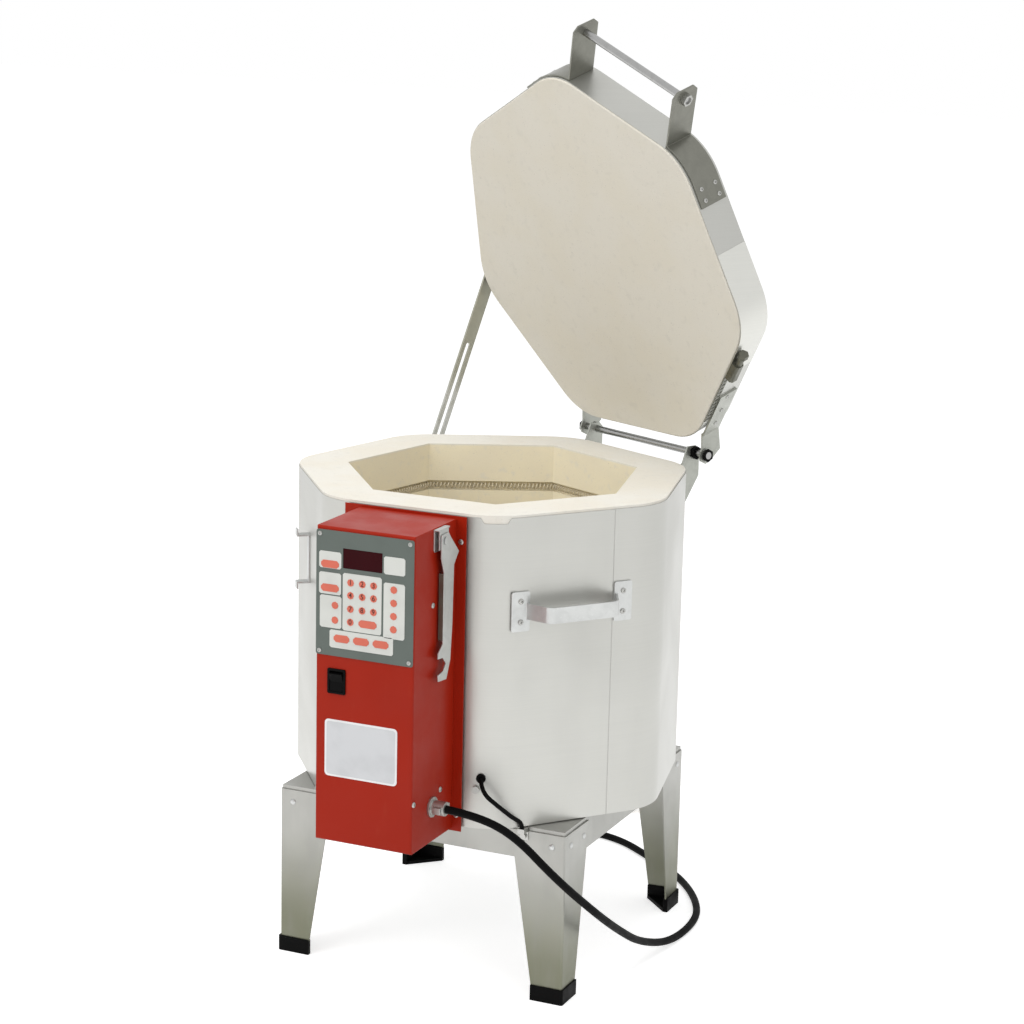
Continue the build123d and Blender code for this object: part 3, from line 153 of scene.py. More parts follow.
class Surface:
    """A principled material and the few node chains that its details need."""

    def __init__(self, name, colour, roughness, metallic=0.0):
        self.material = bpy.data.materials.new(name)
        self.material.use_nodes = True
        self.nodes = self.material.node_tree.nodes
        self.links = self.material.node_tree.links
        self.shader = self.nodes["Principled BSDF"]
        self.shader.inputs["Base Color"].default_value = (*colour, 1)
        self.shader.inputs["Roughness"].default_value = roughness
        self.shader.inputs["Metallic"].default_value = metallic
        coordinates = self.nodes.new("ShaderNodeTexCoord")
        self.mapping = self.nodes.new("ShaderNodeMapping")
        self.mapping.inputs["Location"].default_value = -KILN_AXIS
        self.links.new(coordinates.outputs["Object"], self.mapping.inputs["Vector"])
        self.place = self.mapping.outputs["Vector"]
        self.height = None

    def stretched(self, scale):
        """The place with each axis scaled on its own."""
        node = maths(self.nodes, "VectorMath", "MULTIPLY")
        self.links.new(self.place, node.inputs[0])
        node.inputs[1].default_value = scale
        return node.outputs[0]

    def noise(self, scale, detail=3, stretch=None, distortion=0.0):
        node = self.nodes.new("ShaderNodeTexNoise")
        node.inputs["Scale"].default_value = scale
        node.inputs["Detail"].default_value = detail
        node.inputs["Distortion"].default_value = distortion
        self.links.new(self.stretched(stretch) if stretch else self.place, node.inputs["Vector"])
        return node.outputs["Fac"]

    def cells(self, scale):
        node = self.nodes.new("ShaderNodeTexVoronoi")
        node.inputs["Scale"].default_value = scale
        self.links.new(self.place, node.inputs["Vector"])
        return node.outputs["Color"]

    def band(self, value, low, high, first=0.0, last=1.0):
        """Maps a value between two limits onto another range."""
        node = self.nodes.new("ShaderNodeMapRange")
        node.interpolation_type = "SMOOTHSTEP"
        for name, number in zip(("From Min", "From Max", "To Min", "To Max"), (low, high, first, last)):
            node.inputs[name].default_value = number
        self.links.new(value, node.inputs["Value"])
        return node.outputs["Result"]

    def axis(self, name):
        node = self.nodes.new("ShaderNodeSeparateXYZ")
        self.links.new(self.place, node.inputs[0])
        return node.outputs[name]

    def reach(self):
        """Distance from the kiln's upright axis."""
        node = maths(self.nodes, "VectorMath", "LENGTH")
        self.links.new(self.stretched((1, 1, 0)), node.inputs[0])
        return node.outputs["Value"]

    def both(self, first, second):
        """High where the two values are high."""
        node = maths(self.nodes, "Math", "MULTIPLY")
        self.links.new(first, node.inputs[0])
        self.links.new(second, node.inputs[1])
        return node.outputs[0]

    def mix(self, factor, other, share=1.0):
        """Mixes another colour over the surface where the factor is high."""
        node = self.nodes.new("ShaderNodeMix")
        node.data_type = "RGBA"
        source = self.shader.inputs["Base Color"]
        if source.is_linked:
            self.links.new(source.links[0].from_socket, node.inputs["A"])
        else:
            node.inputs["A"].default_value = source.default_value[:]
        node.inputs["B"].default_value = (*other, 1)
        scaled = maths(self.nodes, "Math", "MULTIPLY")
        self.links.new(factor, scaled.inputs[0])
        scaled.inputs[1].default_value = share
        self.links.new(scaled.outputs[0], node.inputs["Factor"])
        self.links.new(node.outputs["Result"], source)
        return self

    def rough(self, value, low, high):
        """Roughness that follows a pattern."""
        self.links.new(self.band(value, 0.25, 0.75, low, high), self.shader.inputs["Roughness"])
        return self

    def bump(self, value, strength, distance):
        node = self.nodes.new("ShaderNodeBump")
        node.inputs["Strength"].default_value = strength
        node.inputs["Distance"].default_value = distance
        self.links.new(value, node.inputs["Height"])
        if self.height:
            self.links.new(self.height, node.inputs["Normal"])
        self.height = node.outputs["Normal"]
        self.links.new(self.height, self.shader.inputs["Normal"])
        return self


def dull(material, level):
    """Sets how strongly a finish reflects."""
    material.node_tree.nodes["Principled BSDF"].inputs["Specular IOR Level"].default_value = level
    return material


def shade(colour, amount):
    """The colour made darker, or lighter above one."""
    return tuple(min(1.0, c * amount) for c in colour)


def firebrick_surface(name, colour, stain, painted_chamber_light=None):
    """Porous brick; the chamber side below the rim is painted yellower and lighter, as painted light for the
    light that bounces round inside the chamber.
    """
    s = Surface(name, colour, 0.93)
    if painted_chamber_light:
        # Painted light: the chamber side below the rim takes a yellower, lighter colour for the light bouncing
        # inside the chamber.
        inner = s.band(s.reach(), 0.222, 0.202)
        under_rim = s.band(s.axis("Z"), 0.6195, 0.6165)
        s.mix(s.both(inner, under_rim), painted_chamber_light, 0.9)
    s.mix(s.band(s.noise(14, 5), 0.38, 0.68), stain, 0.35)
    s.mix(s.band(s.noise(90, 4), 0.55, 0.75), shade(colour, 0.88), 0.4)
    s.mix(s.band(s.noise(620, 2), 0.68, 0.76), shade(colour, 0.5), 0.6)
    s.bump(s.noise(160, 6), 0.25, 0.0012)
    s.bump(s.noise(900, 3), 0.5, 0.0005)
    return s.material


def stainless_surface(name, colour, roughness=0.36):
    s = Surface(name, colour, roughness, 0.86)
    grain = s.noise(6, 4, (1.2, 1.2, 260))
    s.rough(s.noise(5, 3, distortion=0.6), roughness - 0.05, roughness + 0.09)
    s.mix(s.band(grain, 0.42, 0.62), shade(colour, 0.95), 0.4)
    s.mix(s.band(s.noise(9, 4, (1, 1, 0.35)), 0.45, 0.8), shade(colour, 0.86), 0.45)
    s.bump(grain, 0.05, 0.0003)
    s.bump(s.noise(3.2, 1, (1, 1, 0.5)), 0.25, 0.004)
    return s.material


def plated_surface(name, colour, roughness=0.4, metallic=0.8):
    """Plated or galvanised sheet with its spangle and handling marks."""
    s = Surface(name, colour, roughness, metallic)
    s.mix(s.band(s.noise(60, 5, distortion=1.2), 0.4, 0.66), shade(colour, 0.78), 0.3)
    s.mix(s.band(s.noise(420, 3), 0.56, 0.7), shade(colour, 1.2), 0.25)
    s.rough(s.noise(38, 4), roughness - 0.08, roughness + 0.12)
    s.bump(s.noise(700, 3), 0.12, 0.0002)
    return s.material


def brace_surface(colour):
    """Dull plate of the brace, brighter towards its lower end."""
    s = Surface("brace_plate", colour, 0.4, 0.75)
    s.mix(s.band(s.axis("Z"), 0.70, 0.66), (0.60, 0.60, 0.57), 0.85)
    s.mix(s.band(s.noise(60, 5, distortion=1.2), 0.4, 0.66), shade(colour, 0.8), 0.35)
    s.rough(s.noise(38, 4), 0.32, 0.5)
    s.bump(s.noise(700, 3), 0.12, 0.0002)
    return s.material


def stand_surface(colours):
    s = Surface("stand_steel", colours.stand, 0.34, 0.7)
    s.mix(s.band(s.axis("Z"), 0.20, 0.03), colours.stand_foot, 0.9)
    s.mix(s.band(s.noise(30, 5, (1, 1, 0.25)), 0.42, 0.72), shade(colours.stand, 0.7), 0.3)
    s.rough(s.noise(18, 4), 0.28, 0.46)
    s.bump(s.noise(6, 4, (260, 260, 2)), 0.06, 0.0003)
    return s.material


def powder_surface(name, colour):
    """Powder coat with its orange peel and a little dust."""
    s = Surface(name, colour, 0.36)
    dull(s.material, 0.14)
    s.mix(s.band(s.noise(7, 4), 0.4, 0.75), shade(colour, 0.85), 0.5)
    s.mix(s.band(s.noise(45, 5, (1, 1, 0.4)), 0.58, 0.8), (0.42, 0.07, 0.035), 0.2)
    s.rough(s.noise(24, 4), 0.3, 0.46)
    s.bump(s.noise(850, 2), 0.16, 0.0004)
    return s.material


def moulded_surface(name, colour, roughness=0.5, grain=900):
    s = Surface(name, colour, roughness)
    s.mix(s.band(s.noise(30, 4), 0.45, 0.75), shade(colour, 1.7), 0.4)
    s.rough(s.noise(60, 4), roughness - 0.08, roughness + 0.1)
    s.bump(s.noise(grain, 3), 0.2, 0.0003)
    return s.material


def film_surface(name, colour, roughness=0.42):
    """Printed film of the controller."""
    s = Surface(name, colour, roughness)
    s.mix(s.band(s.noise(40, 4), 0.4, 0.72), shade(colour, 0.86), 0.5)
    s.rough(s.noise(25, 3), roughness - 0.07, roughness + 0.08)
    s.bump(s.noise(1500, 2), 0.1, 0.0002)
    return s.material


def wire_surface():
    s = Surface("element_wire", (0.74, 0.67, 0.52), 0.7, 0.05)
    s.mix(s.band(s.noise(160, 4), 0.4, 0.7), (0.60, 0.53, 0.40), 0.6)
    s.bump(s.noise(1400, 3), 0.3, 0.0002)
    return s.material


def board_surface():
    s = Surface("circuit_board", (0.012, 0.085, 0.035), 0.34)
    s.mix(s.band(s.cells(260), 0.55, 0.6), (0.03, 0.16, 0.07), 0.8)
    s.bump(s.noise(500, 2), 0.15, 0.0003)
    return s.material


class Finishes:
    """The object's materials, made once."""

    def __init__(self):
        c = bpy.context.scene.kiln_colours
        # The last colour is the chamber side's painted light, yellower and lighter than the brick.
        self.brick = firebrick_surface("firebrick", c.firebrick, (0.80, 0.73, 0.60), (0.92, 0.84, 0.63))
        self.slab = firebrick_surface("slab_brick", c.slab, (0.70, 0.65, 0.53))
        self.stainless = stainless_surface("satin_stainless", c.stainless)
        # A lighter copy of the satin stainless: painted light on the band's lapping end.
        self.lap = stainless_surface("lap_stainless", shade(c.stainless, 1.32), 0.4)
        self.stand = stand_surface(c)
        self.zinc = plated_surface("galvanised_sheet", c.zinc, 0.36, 0.85)
        self.bracket = plated_surface("dark_plate", c.bracket, 0.34, 0.8)
        self.brace = brace_surface(c.brace)
        self.post = plated_surface("hinge_plate", (0.42, 0.43, 0.39), 0.4, 0.8)
        # Dark plate of the worm clamp, partly painted shade for the shade the clamp sits in; it is also the
        # painted shadow on the vent hook's lip.
        self.clamp = plated_surface("clamp_plate", (0.15, 0.15, 0.12), 0.4, 0.7)
        self.chrome = plated_surface("chrome_rod", (0.40, 0.40, 0.395), 0.24, 1.0)
        self.screw = plated_surface("screw_zinc", (0.45, 0.45, 0.43), 0.33, 0.9)
        self.paint = powder_surface("box_powder_coat", c.paint)
        self.face = film_surface("controller_film", c.face, 0.38)
        self.panel = film_surface("key_panel_film", c.panel)
        self.key = film_surface("key_film", c.key, 0.36)
        self.ink = film_surface("printed_ink", (0.07, 0.008, 0.006), 0.5)
        self.display = dull(film_surface("display_window", (0.034, 0.002, 0.004), 0.24), 0.06)
        self.black = dull(moulded_surface("black_plastic", (0.003, 0.003, 0.003), 0.5), 0.06)
        self.rubber = dull(moulded_surface("cord_rubber", (0.0025, 0.0025, 0.0025), 0.58, 1300), 0.07)
        self.plate = film_surface("bare_plate", (0.84, 0.84, 0.84), 0.35)
        self.field = film_surface("bare_plate_field", (0.63, 0.64, 0.655), 0.35)
        self.wire = wire_surface()
        self.porcelain = moulded_surface("porcelain", (0.78, 0.76, 0.70), 0.3, 300)
        self.board = board_surface()
        self.relay = moulded_surface("relay_case", (0.02, 0.02, 0.024), 0.3)
        self.iron = plated_surface("core_iron", (0.10, 0.10, 0.11), 0.45, 0.6)
        self.phenolic = moulded_surface("terminal_phenolic", (0.09, 0.035, 0.016), 0.5)
        self.brass = plated_surface("plug_brass", (0.62, 0.44, 0.18), 0.28, 1.0)


finish = {}


def finishes():
    if "all" not in finish:
        finish["all"] = Finishes()
    return finish["all"]


# Mesh building

def link(name, mesh):
    piece = bpy.data.objects.new(name, mesh)
    bpy.context.scene.collection.objects.link(piece)
    return piece


def built(name, shape):
    """Piece made of a bmesh, which is freed."""
    mesh = bpy.data.meshes.new(name)
    shape.to_mesh(mesh)
    shape.free()
    return link(name, mesh)


def settle(piece, material, body, *nodes):
    """Gives a finished piece its material, body and the nodes that it stands for."""
    piece.data.materials.clear()
    piece.data.materials.append(material)
    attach(piece, body)
    if nodes:
        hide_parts(*nodes)
    return piece


def paint(material, *nodes):
    """Puts a better material on CAD nodes whose shape stays."""
    for node in nodes:
        for slot in NODES[node].material_slots:
            slot.material = material


def clean_copy(node):
    """Mesh of a CAD node with its triangles joined into whole faces."""
    shape = bmesh.new()
    shape.from_mesh(NODES[node].data)
    bricks = node.startswith("brick_course")
    if bricks:
        lift_bricks(shape)
    bmesh.ops.remove_doubles(shape, verts=shape.verts, dist=MERGE)
    bmesh.ops.dissolve_limit(shape, angle_limit=radians(0.6), verts=shape.verts, edges=shape.edges)
    if bricks:
        for vertex in shape.verts:
            vertex.co.z -= 2 * floor(vertex.co.z / 2)
    return shape


def lift_bricks(shape):
    """Moves each wall's brick two metres above the last, so that bricks which touch aren't merged."""
    bmesh.ops.split_edges(shape, edges=shape.edges[:])
    for face in shape.faces:
        inside = face.calc_center_median() - face.normal * 0.001 - KILN_AXIS
        side = round((atan2(inside.y, inside.x) + pi / 2) / STEP) % 7
        for vertex in face.verts:
            vertex.co.z += 2 * side


def baked(piece):
    """Applies the piece's modifiers by taking its evaluated mesh."""
    bpy.context.view_layer.update()
    seen = piece.evaluated_get(bpy.context.evaluated_depsgraph_get())
    mesh = bpy.data.meshes.new_from_object(seen)
    piece.modifiers.clear()
    if piece.type == "MESH":
        piece.data = mesh
        return piece
    name = piece.name
    bpy.data.objects.remove(piece)
    return link(name, mesh)


def smooth(mesh, angle=32):
    for face in mesh.polygons:
        face.use_smooth = True
    mesh.set_sharp_from_angle(angle=radians(angle))


def softened(node, name, width, material, segments=2, angle=34):
    """Copy of a CAD node with rounded edges, which stands for it."""
    piece = built(name, clean_copy(node))
    smooth(piece.data, angle)
    bevel = piece.modifiers.new("edge", "BEVEL")
    bevel.width = width
    bevel.segments = segments
    bevel.limit_method = "ANGLE"
    bevel.angle_limit = radians(angle)
    bevel.use_clamp_overlap = True
    bevel.harden_normals = True
    return settle(baked(piece), material, NODES[node]["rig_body"], node)


def loft(shape, rings):
    """Faces from each ring of corners to the next."""
    for first, second in zip(rings, rings[1:]):
        for k in range(len(first)):
            after = (k + 1) % len(first)
            shape.faces.new((first[k], first[after], second[after], second[k]))


def closed_piece(name, shape, rings):
    """Piece through rings of corners, closed at both ends."""
    loft(shape, rings)
    shape.faces.new(rings[0])
    shape.faces.new(rings[-1])
    bmesh.ops.recalc_face_normals(shape, faces=shape.faces)
    return built(name, shape)


def plate_piece(name, across, up, face, corner, thick):
    """Thin plate with rounded corners on a face that looks to -Y, in millimetres."""
    outline = []
    places = ((across[1], up[1]), (across[0], up[1]), (across[0], up[0]), (across[1], up[0]))
    for quarter, (x, z) in enumerate(places):
        middle_x = x - corner if x == across[1] else x + corner
        middle_z = z - corner if z == up[1] else z + corner
        for part in range(7):
            a = quarter * pi / 2 + pi / 12 * part
            outline.append((middle_x + corner * cos(a), middle_z + corner * sin(a)))
    shape = bmesh.new()
    rings = [[shape.verts.new(at(x, y, z)) for x, z in outline] for y in (face, face - thick)]
    return closed_piece(name, shape, rings)


def strip_piece(name, stations, low, high):
    """Upright sheet through pairs of inner and outer plan points."""
    shape = bmesh.new()
    rings = []
    for inner, outer in stations:
        ring = ((inner, low), (outer, low), (outer, high), (inner, high))
        rings.append([shape.verts.new(at(*spot, z)) for spot, z in ring])
    return closed_piece(name, shape, rings)


def solids(shape):
    """Lists of the corners of each separate solid, in the order of their first corners."""
    left = set(shape.verts)
    groups = []
    for first in shape.verts:
        if first not in left:
            continue
        left.remove(first)
        stack = [first]
        group = []
        while stack:
            vertex = stack.pop()
            group.append(vertex)
            for edge in vertex.link_edges:
                other = edge.other_vert(vertex)
                if other in left:
                    left.remove(other)
                    stack.append(other)
        groups.append(group)
    return groups


def islands(node):
    """Corners and largest face's normal of each solid in a CAD node."""
    shape = bmesh.new()
    shape.from_mesh(NODES[node].data)
    bmesh.ops.remove_doubles(shape, verts=shape.verts, dist=MERGE)
    found = []
    for group in solids(shape):
        faces = {face for vertex in group for face in vertex.link_faces}
        widest = max(faces, key=lambda face: face.calc_area())
        found.append(([vertex.co.copy() for vertex in group], widest.normal.copy()))
    shape.free()
    return found


# Node tree helpers

def node_group(name, inputs):
    """Geometry Nodes group with named inputs; returns the group and its ends."""
    group = bpy.data.node_groups.new(name, "GeometryNodeTree")
    group.interface.new_socket("Geometry", in_out="INPUT", socket_type="NodeSocketGeometry")
    for label, kind, value in inputs:
        socket = group.interface.new_socket(label, in_out="INPUT", socket_type=kind)
        if value is not None:
            socket.default_value = value
    group.interface.new_socket("Geometry", in_out="OUTPUT", socket_type="NodeSocketGeometry")
    start = group.nodes.new("NodeGroupInput")
    end = group.nodes.new("NodeGroupOutput")
    return group, start, end


def apply_tree(piece, group, **values):
    """Runs a tree on a piece with its inputs set, and keeps the plain mesh."""
    modifier = piece.modifiers.new(group.name, "NODES")
    modifier.node_group = group
    for item in group.interface.items_tree:
        if item.item_type == "SOCKET" and item.in_out == "INPUT":
            key = item.name.lower().replace(" ", "_")
            if key in values:
                modifier[item.identifier] = values[key]
    return baked(piece)


def close_tree(group, geometry, start, end):
    """Ends a tree in Realize Instances and Set Material."""
    real = group.nodes.new("GeometryNodeRealizeInstances")
    coat = group.nodes.new("GeometryNodeSetMaterial")
    group.links.new(geometry, real.inputs["Geometry"])
    group.links.new(real.outputs["Geometry"], coat.inputs["Geometry"])
    group.links.new(start.outputs["Material"], coat.inputs["Material"])
    group.links.new(coat.outputs["Geometry"], end.inputs["Geometry"])


def fastener_tree():
    """Heads on points, each turned to its point's way out and spun at random."""
    group, start, end = node_group("fastener_heads", [
        ("Head", "NodeSocketObject", None), ("Head radius", "NodeSocketFloat", 0.0036),
        ("Seed", "NodeSocketInt", 4), ("Material", "NodeSocketMaterial", None)])
    new, wire = group.nodes.new, group.links.new
    info = new("GeometryNodeObjectInfo")
    wire(start.outputs["Head"], info.inputs["Object"])
    out = new("GeometryNodeInputNamedAttribute")
    out.data_type = "FLOAT_VECTOR"
    out.inputs["Name"].default_value = "way_out"
    size = new("GeometryNodeInputNamedAttribute")
    size.data_type = "FLOAT"
    size.inputs["Name"].default_value = "head_size"
    align = new("FunctionNodeAlignRotationToVector")
    align.axis = "Z"
    wire(out.outputs["Attribute"], align.inputs["Vector"])
    spin = new("FunctionNodeRandomValue")
    spin.data_type = "FLOAT"
    spin.inputs["Max"].default_value = 2 * pi
    wire(start.outputs["Seed"], spin.inputs["Seed"])
    turn = new("FunctionNodeAxisAngleToRotation")
    turn.inputs["Axis"].default_value = (0, 0, 1)
    wire(spin.outputs[1], turn.inputs["Angle"])
    both = new("FunctionNodeRotateRotation")
    both.rotation_space = "LOCAL"
    wire(align.outputs["Rotation"], both.inputs["Rotation"])
    wire(turn.outputs["Rotation"], both.inputs["Rotate By"])
    scale = maths(group.nodes, "Math", "MULTIPLY")
    wire(size.outputs["Attribute"], scale.inputs[0])
    wire(start.outputs["Head radius"], scale.inputs[1])
    place = new("GeometryNodeInstanceOnPoints")
    wire(start.outputs["Geometry"], place.inputs["Points"])
    wire(info.outputs["Geometry"], place.inputs["Instance"])
    wire(both.outputs["Rotation"], place.inputs["Rotation"])
    wire(scale.outputs[0], place.inputs["Scale"])
    close_tree(group, place.outputs["Instances"], start, end)
    return group


def winding_tree():
    """Helix wound round the curve that it is given."""
    group, start, end = node_group("coil_windings", [
        ("Coil radius", "NodeSocketFloat", 0.0034), ("Wire radius", "NodeSocketFloat", 0.0008),
        ("Turns", "NodeSocketInt", 230), ("Material", "NodeSocketMaterial", None)])
    new, wire = group.nodes.new, group.links.new
    per_turn = 11
    count = maths(group.nodes, "Math", "MULTIPLY")
    count.inputs[1].default_value = per_turn
    wire(start.outputs["Turns"], count.inputs[0])
    even = new("GeometryNodeResampleCurve")
    wire(start.outputs["Geometry"], even.inputs["Curve"])
    wire(count.outputs[0], even.inputs["Count"])
    index = new("GeometryNodeInputIndex")
    angle = maths(group.nodes, "Math", "MULTIPLY")
    angle.inputs[1].default_value = 2 * pi / per_turn
    wire(index.outputs[0], angle.inputs[0])
    tangent = new("GeometryNodeInputTangent")
    side = maths(group.nodes, "VectorMath", "CROSS_PRODUCT")
    wire(tangent.outputs[0], side.inputs[0])
    side.inputs[1].default_value = (0, 0, 1)
    parts = []
    for operation, axis in (("COSINE", side.outputs[0]), ("SINE", (0, 0, 1))):
        wave = maths(group.nodes, "Math", operation)
        wire(angle.outputs[0], wave.inputs[0])
        part = maths(group.nodes, "VectorMath", "SCALE")
        if isinstance(axis, tuple):
            part.inputs[0].default_value = axis
        else:
            wire(axis, part.inputs[0])
        wire(wave.outputs[0], part.inputs["Scale"])
        parts.append(part)
    total = new("ShaderNodeVectorMath")
    wire(parts[0].outputs[0], total.inputs[0])
    wire(parts[1].outputs[0], total.inputs[1])
    offset = maths(group.nodes, "VectorMath", "SCALE")
    wire(total.outputs[0], offset.inputs[0])
    wire(start.outputs["Coil radius"], offset.inputs["Scale"])
    moved = new("GeometryNodeSetPosition")
    wire(even.outputs["Curve"], moved.inputs["Geometry"])
    wire(offset.outputs[0], moved.inputs["Offset"])
    ring = new("GeometryNodeCurvePrimitiveCircle")
    ring.inputs["Resolution"].default_value = 6
    wire(start.outputs["Wire radius"], ring.inputs["Radius"])
    tube = new("GeometryNodeCurveToMesh")
    tube.inputs["Fill Caps"].default_value = True
    wire(moved.outputs["Geometry"], tube.inputs["Curve"])
    wire(ring.outputs["Curve"], tube.inputs["Profile Curve"])
    close_tree(group, tube.outputs["Mesh"], start, end)
    return group


# Fasteners

def lathe(profile, segments):
    """Turned side on a profile of (radius, height) pairs, with its rings of corners."""
    shape = bmesh.new()
    rings = []
    for radius, height in profile:
        turns = [2 * pi * k / segments for k in range(segments)]
        rings.append([shape.verts.new((radius * cos(a), radius * sin(a), height)) for a in turns])
    loft(shape, rings)
    return shape, rings


def cross_head():
    """Pan head of unit radius with a cross recess."""
    shape, rings = lathe([(1.0, 0.0), (1.0, 0.16), (0.93, 0.32), (0.78, 0.44), (0.62, 0.5)], 20)
    shape.faces.new(list(reversed(rings[0])))
    arm, wide = 0.46, 0.11
    corners, quarter = [], [(arm, -wide), (arm, wide), (wide, wide)]
    for _ in range(4):
        corners += quarter
        quarter = [(-y, x) for x, y in quarter]
    top = [shape.verts.new((x, y, 0.5)) for x, y in corners]
    deep = [shape.verts.new((x * 0.75, y * 0.75, 0.18)) for x, y in corners]
    for k in range(12):
        shape.faces.new((top[k], deep[k], deep[(k + 1) % 12], top[(k + 1) % 12]))
    shape.faces.new(deep)
    edges = [shape.edges.get((top[k], top[(k + 1) % 12])) for k in range(12)]
    edges += [shape.edges.get((rings[-1][k], rings[-1][(k + 1) % 20])) for k in range(20)]
    bmesh.ops.triangle_fill(shape, use_beauty=True, edges=edges)
    bmesh.ops.recalc_face_normals(shape, faces=shape.faces)
    return shape


def rivet_head():
    """Domed rivet head of unit radius."""
    profile = [(1.0, 0.0)] + [(cos(a), 0.48 * sin(a)) for a in (0.25, 0.55, 0.85, 1.15, 1.4)]
    shape, rings = lathe(profile, 16)
    shape.faces.new(list(reversed(rings[0])))
    shape.faces.new(rings[-1])
    bmesh.ops.recalc_face_normals(shape, faces=shape.faces)
    return shape


def heads(node, name, template, centre, tree, seed, material):
    """Detailed heads where a CAD node has its plain ones, and the node's other solids as they are."""
    points = bmesh.new()
    way = points.verts.layers.float_vector.new("way_out")
    size = points.verts.layers.float.new("head_size")
    body = NODES[node]["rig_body"]
    others = 0
    for corners, normal in islands(node):
        if len(corners) != PLAIN_HEAD_CORNERS:
            others += 1
            continue
        middle = sum(corners, Vector()) / len(corners)
        if normal.dot(middle - centre) < 0:
            normal = -normal
        reach = [(corner - middle).dot(normal) for corner in corners]
        wide = max(((corner - middle) - normal * (corner - middle).dot(normal)).length for corner in corners)
        vertex = points.verts.new(middle + normal * min(reach))
        vertex[way] = normal
        vertex[size] = wide
    piece = apply_tree(built(name, points), tree, head=template, head_radius=1.0, seed=seed, material=material)
    smooth(piece.data, 50)
    settle(piece, material, body, node)
    if others:
        rest = clean_copy(node)
        drop_plain_heads(rest)
        settle(built(f"{name}_others", rest), material, body, node)


def drop_plain_heads(shape):
    """Deletes every solid that has the few corners of a plain screw head."""
    for group in solids(shape):
        if len(group) <= PLAIN_HEAD_CORNERS:
            bmesh.ops.delete(shape, geom=group, context="VERTS")


class KILN_OT_fasteners(bpy.types.Operator):
    """Screw and rivet heads with their recesses, on the points where the CAD has plain heads"""
    bl_idname = "kiln.fasteners"
    bl_label = "Fasteners"

    def execute(self, context):
        tree = fastener_tree()
        screw = built("screw_template", cross_head())
        rivet = built("rivet_template", rivet_head())
        f = finishes()
        low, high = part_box("lid_slab")
        heads("body_screws", "kiln_screw_heads", screw, at(0, 0, 400), tree, 7, f.screw)
        heads("stand_rivets", "stand_rivet_heads", rivet, at(0, 0, 200), tree, 3, f.zinc)
        heads("lid_screws_and_nuts", "lid_screw_heads", screw, (low + high) / 2, tree, 11, f.screw)
        for template in (screw, rivet):
            bpy.data.objects.remove(template)
        return {"FINISHED"}


# Camera, floor and light

class KILN_OT_stage(bpy.types.Operator):
    """Camera at the photograph's angle, pale floor and soft studio light"""
    bl_idname = "kiln.stage"
    bl_label = "Stage"

    def execute(self, context):
        scene = context.scene
        azimuth, elevation, roll = map(radians, PHOTO_ANGLES)
        back = Vector((sin(azimuth) * cos(elevation), -cos(azimuth) * cos(elevation), sin(elevation)))
        level = Vector((cos(azimuth), sin(azimuth), 0))
        upright = back.cross(level)
        right = level * cos(roll) + upright * sin(roll)
        up = upright * cos(roll) - level * sin(roll)
        target = at(*PHOTO_TARGET)
        data = bpy.data.cameras.new("studio_camera")
        data.sensor_width = SENSOR
        data.lens = PHOTO_FOCAL * SENSOR / PHOTO_WIDTH
        camera = bpy.data.objects.new("studio_camera", data)
        turn = Matrix((right, up, back)).transposed().to_4x4()
        camera.matrix_world = Matrix.Translation(target + back * PHOTO_DISTANCE) @ turn
        scene.collection.objects.link(camera)
        scene.camera = camera
        scene.view_settings.view_transform = "Standard"

        mesh = bpy.data.meshes.new("studio_floor")
        reach = 14
        corners = [(-reach, -reach, 0), (reach, -reach, 0), (reach, reach, 0), (-reach, reach, 0)]
        mesh.from_pydata(corners, [], [(0, 1, 2, 3)])
        floor = link("studio_floor", mesh)
        mesh.materials.append(floor_surface())

        world = bpy.data.worlds.new("studio_world")
        scene.world = world
        world.use_nodes = True
        nodes, links = world.node_tree.nodes, world.node_tree.links
        backdrop = nodes["Background"]
        backdrop.inputs["Color"].default_value = (1, 1, 1, 1)
        backdrop.inputs["Strength"].default_value = 0.55
        seen = nodes.new("ShaderNodeBackground")
        seen.inputs["Color"].default_value = (1, 1, 1, 1)
        seen.inputs["Strength"].default_value = 1.0
        path = nodes.new("ShaderNodeLightPath")
        mixed = nodes.new("ShaderNodeMixShader")
        links.new(shown_ray(nodes, links, path), mixed.inputs["Fac"])
        links.new(backdrop.outputs[0], mixed.inputs[1])
        links.new(seen.outputs[0], mixed.inputs[2])
        links.new(mixed.outputs[0], nodes["World Output"].inputs["Surface"])

        for name, place, width, power in LAMPS:
            lamp = bpy.data.lights.new(f"{name}_lamp", "AREA")
            lamp.size = width
            lamp.energy = power
            holder = bpy.data.objects.new(f"{name}_lamp", lamp)
            spot = at(*place)
            aim = (at(0, 0, 560) - spot).to_track_quat("-Z", "Y")
            holder.matrix_world = Matrix.Translation(spot) @ aim.to_matrix().to_4x4()
            holder.visible_glossy = False
            scene.collection.objects.link(holder)
        return {"FINISHED"}


def shown_ray(nodes, links, path):
    """One for what the camera sees, straight or in metal and glass."""
    total = path.outputs["Is Camera Ray"]
    for name in ("Is Glossy Ray", "Is Transmission Ray"):
        add = maths(nodes, "Math", "MAXIMUM")
        links.new(total, add.inputs[0])
        links.new(path.outputs[name], add.inputs[1])
        total = add.outputs[0]
    return total


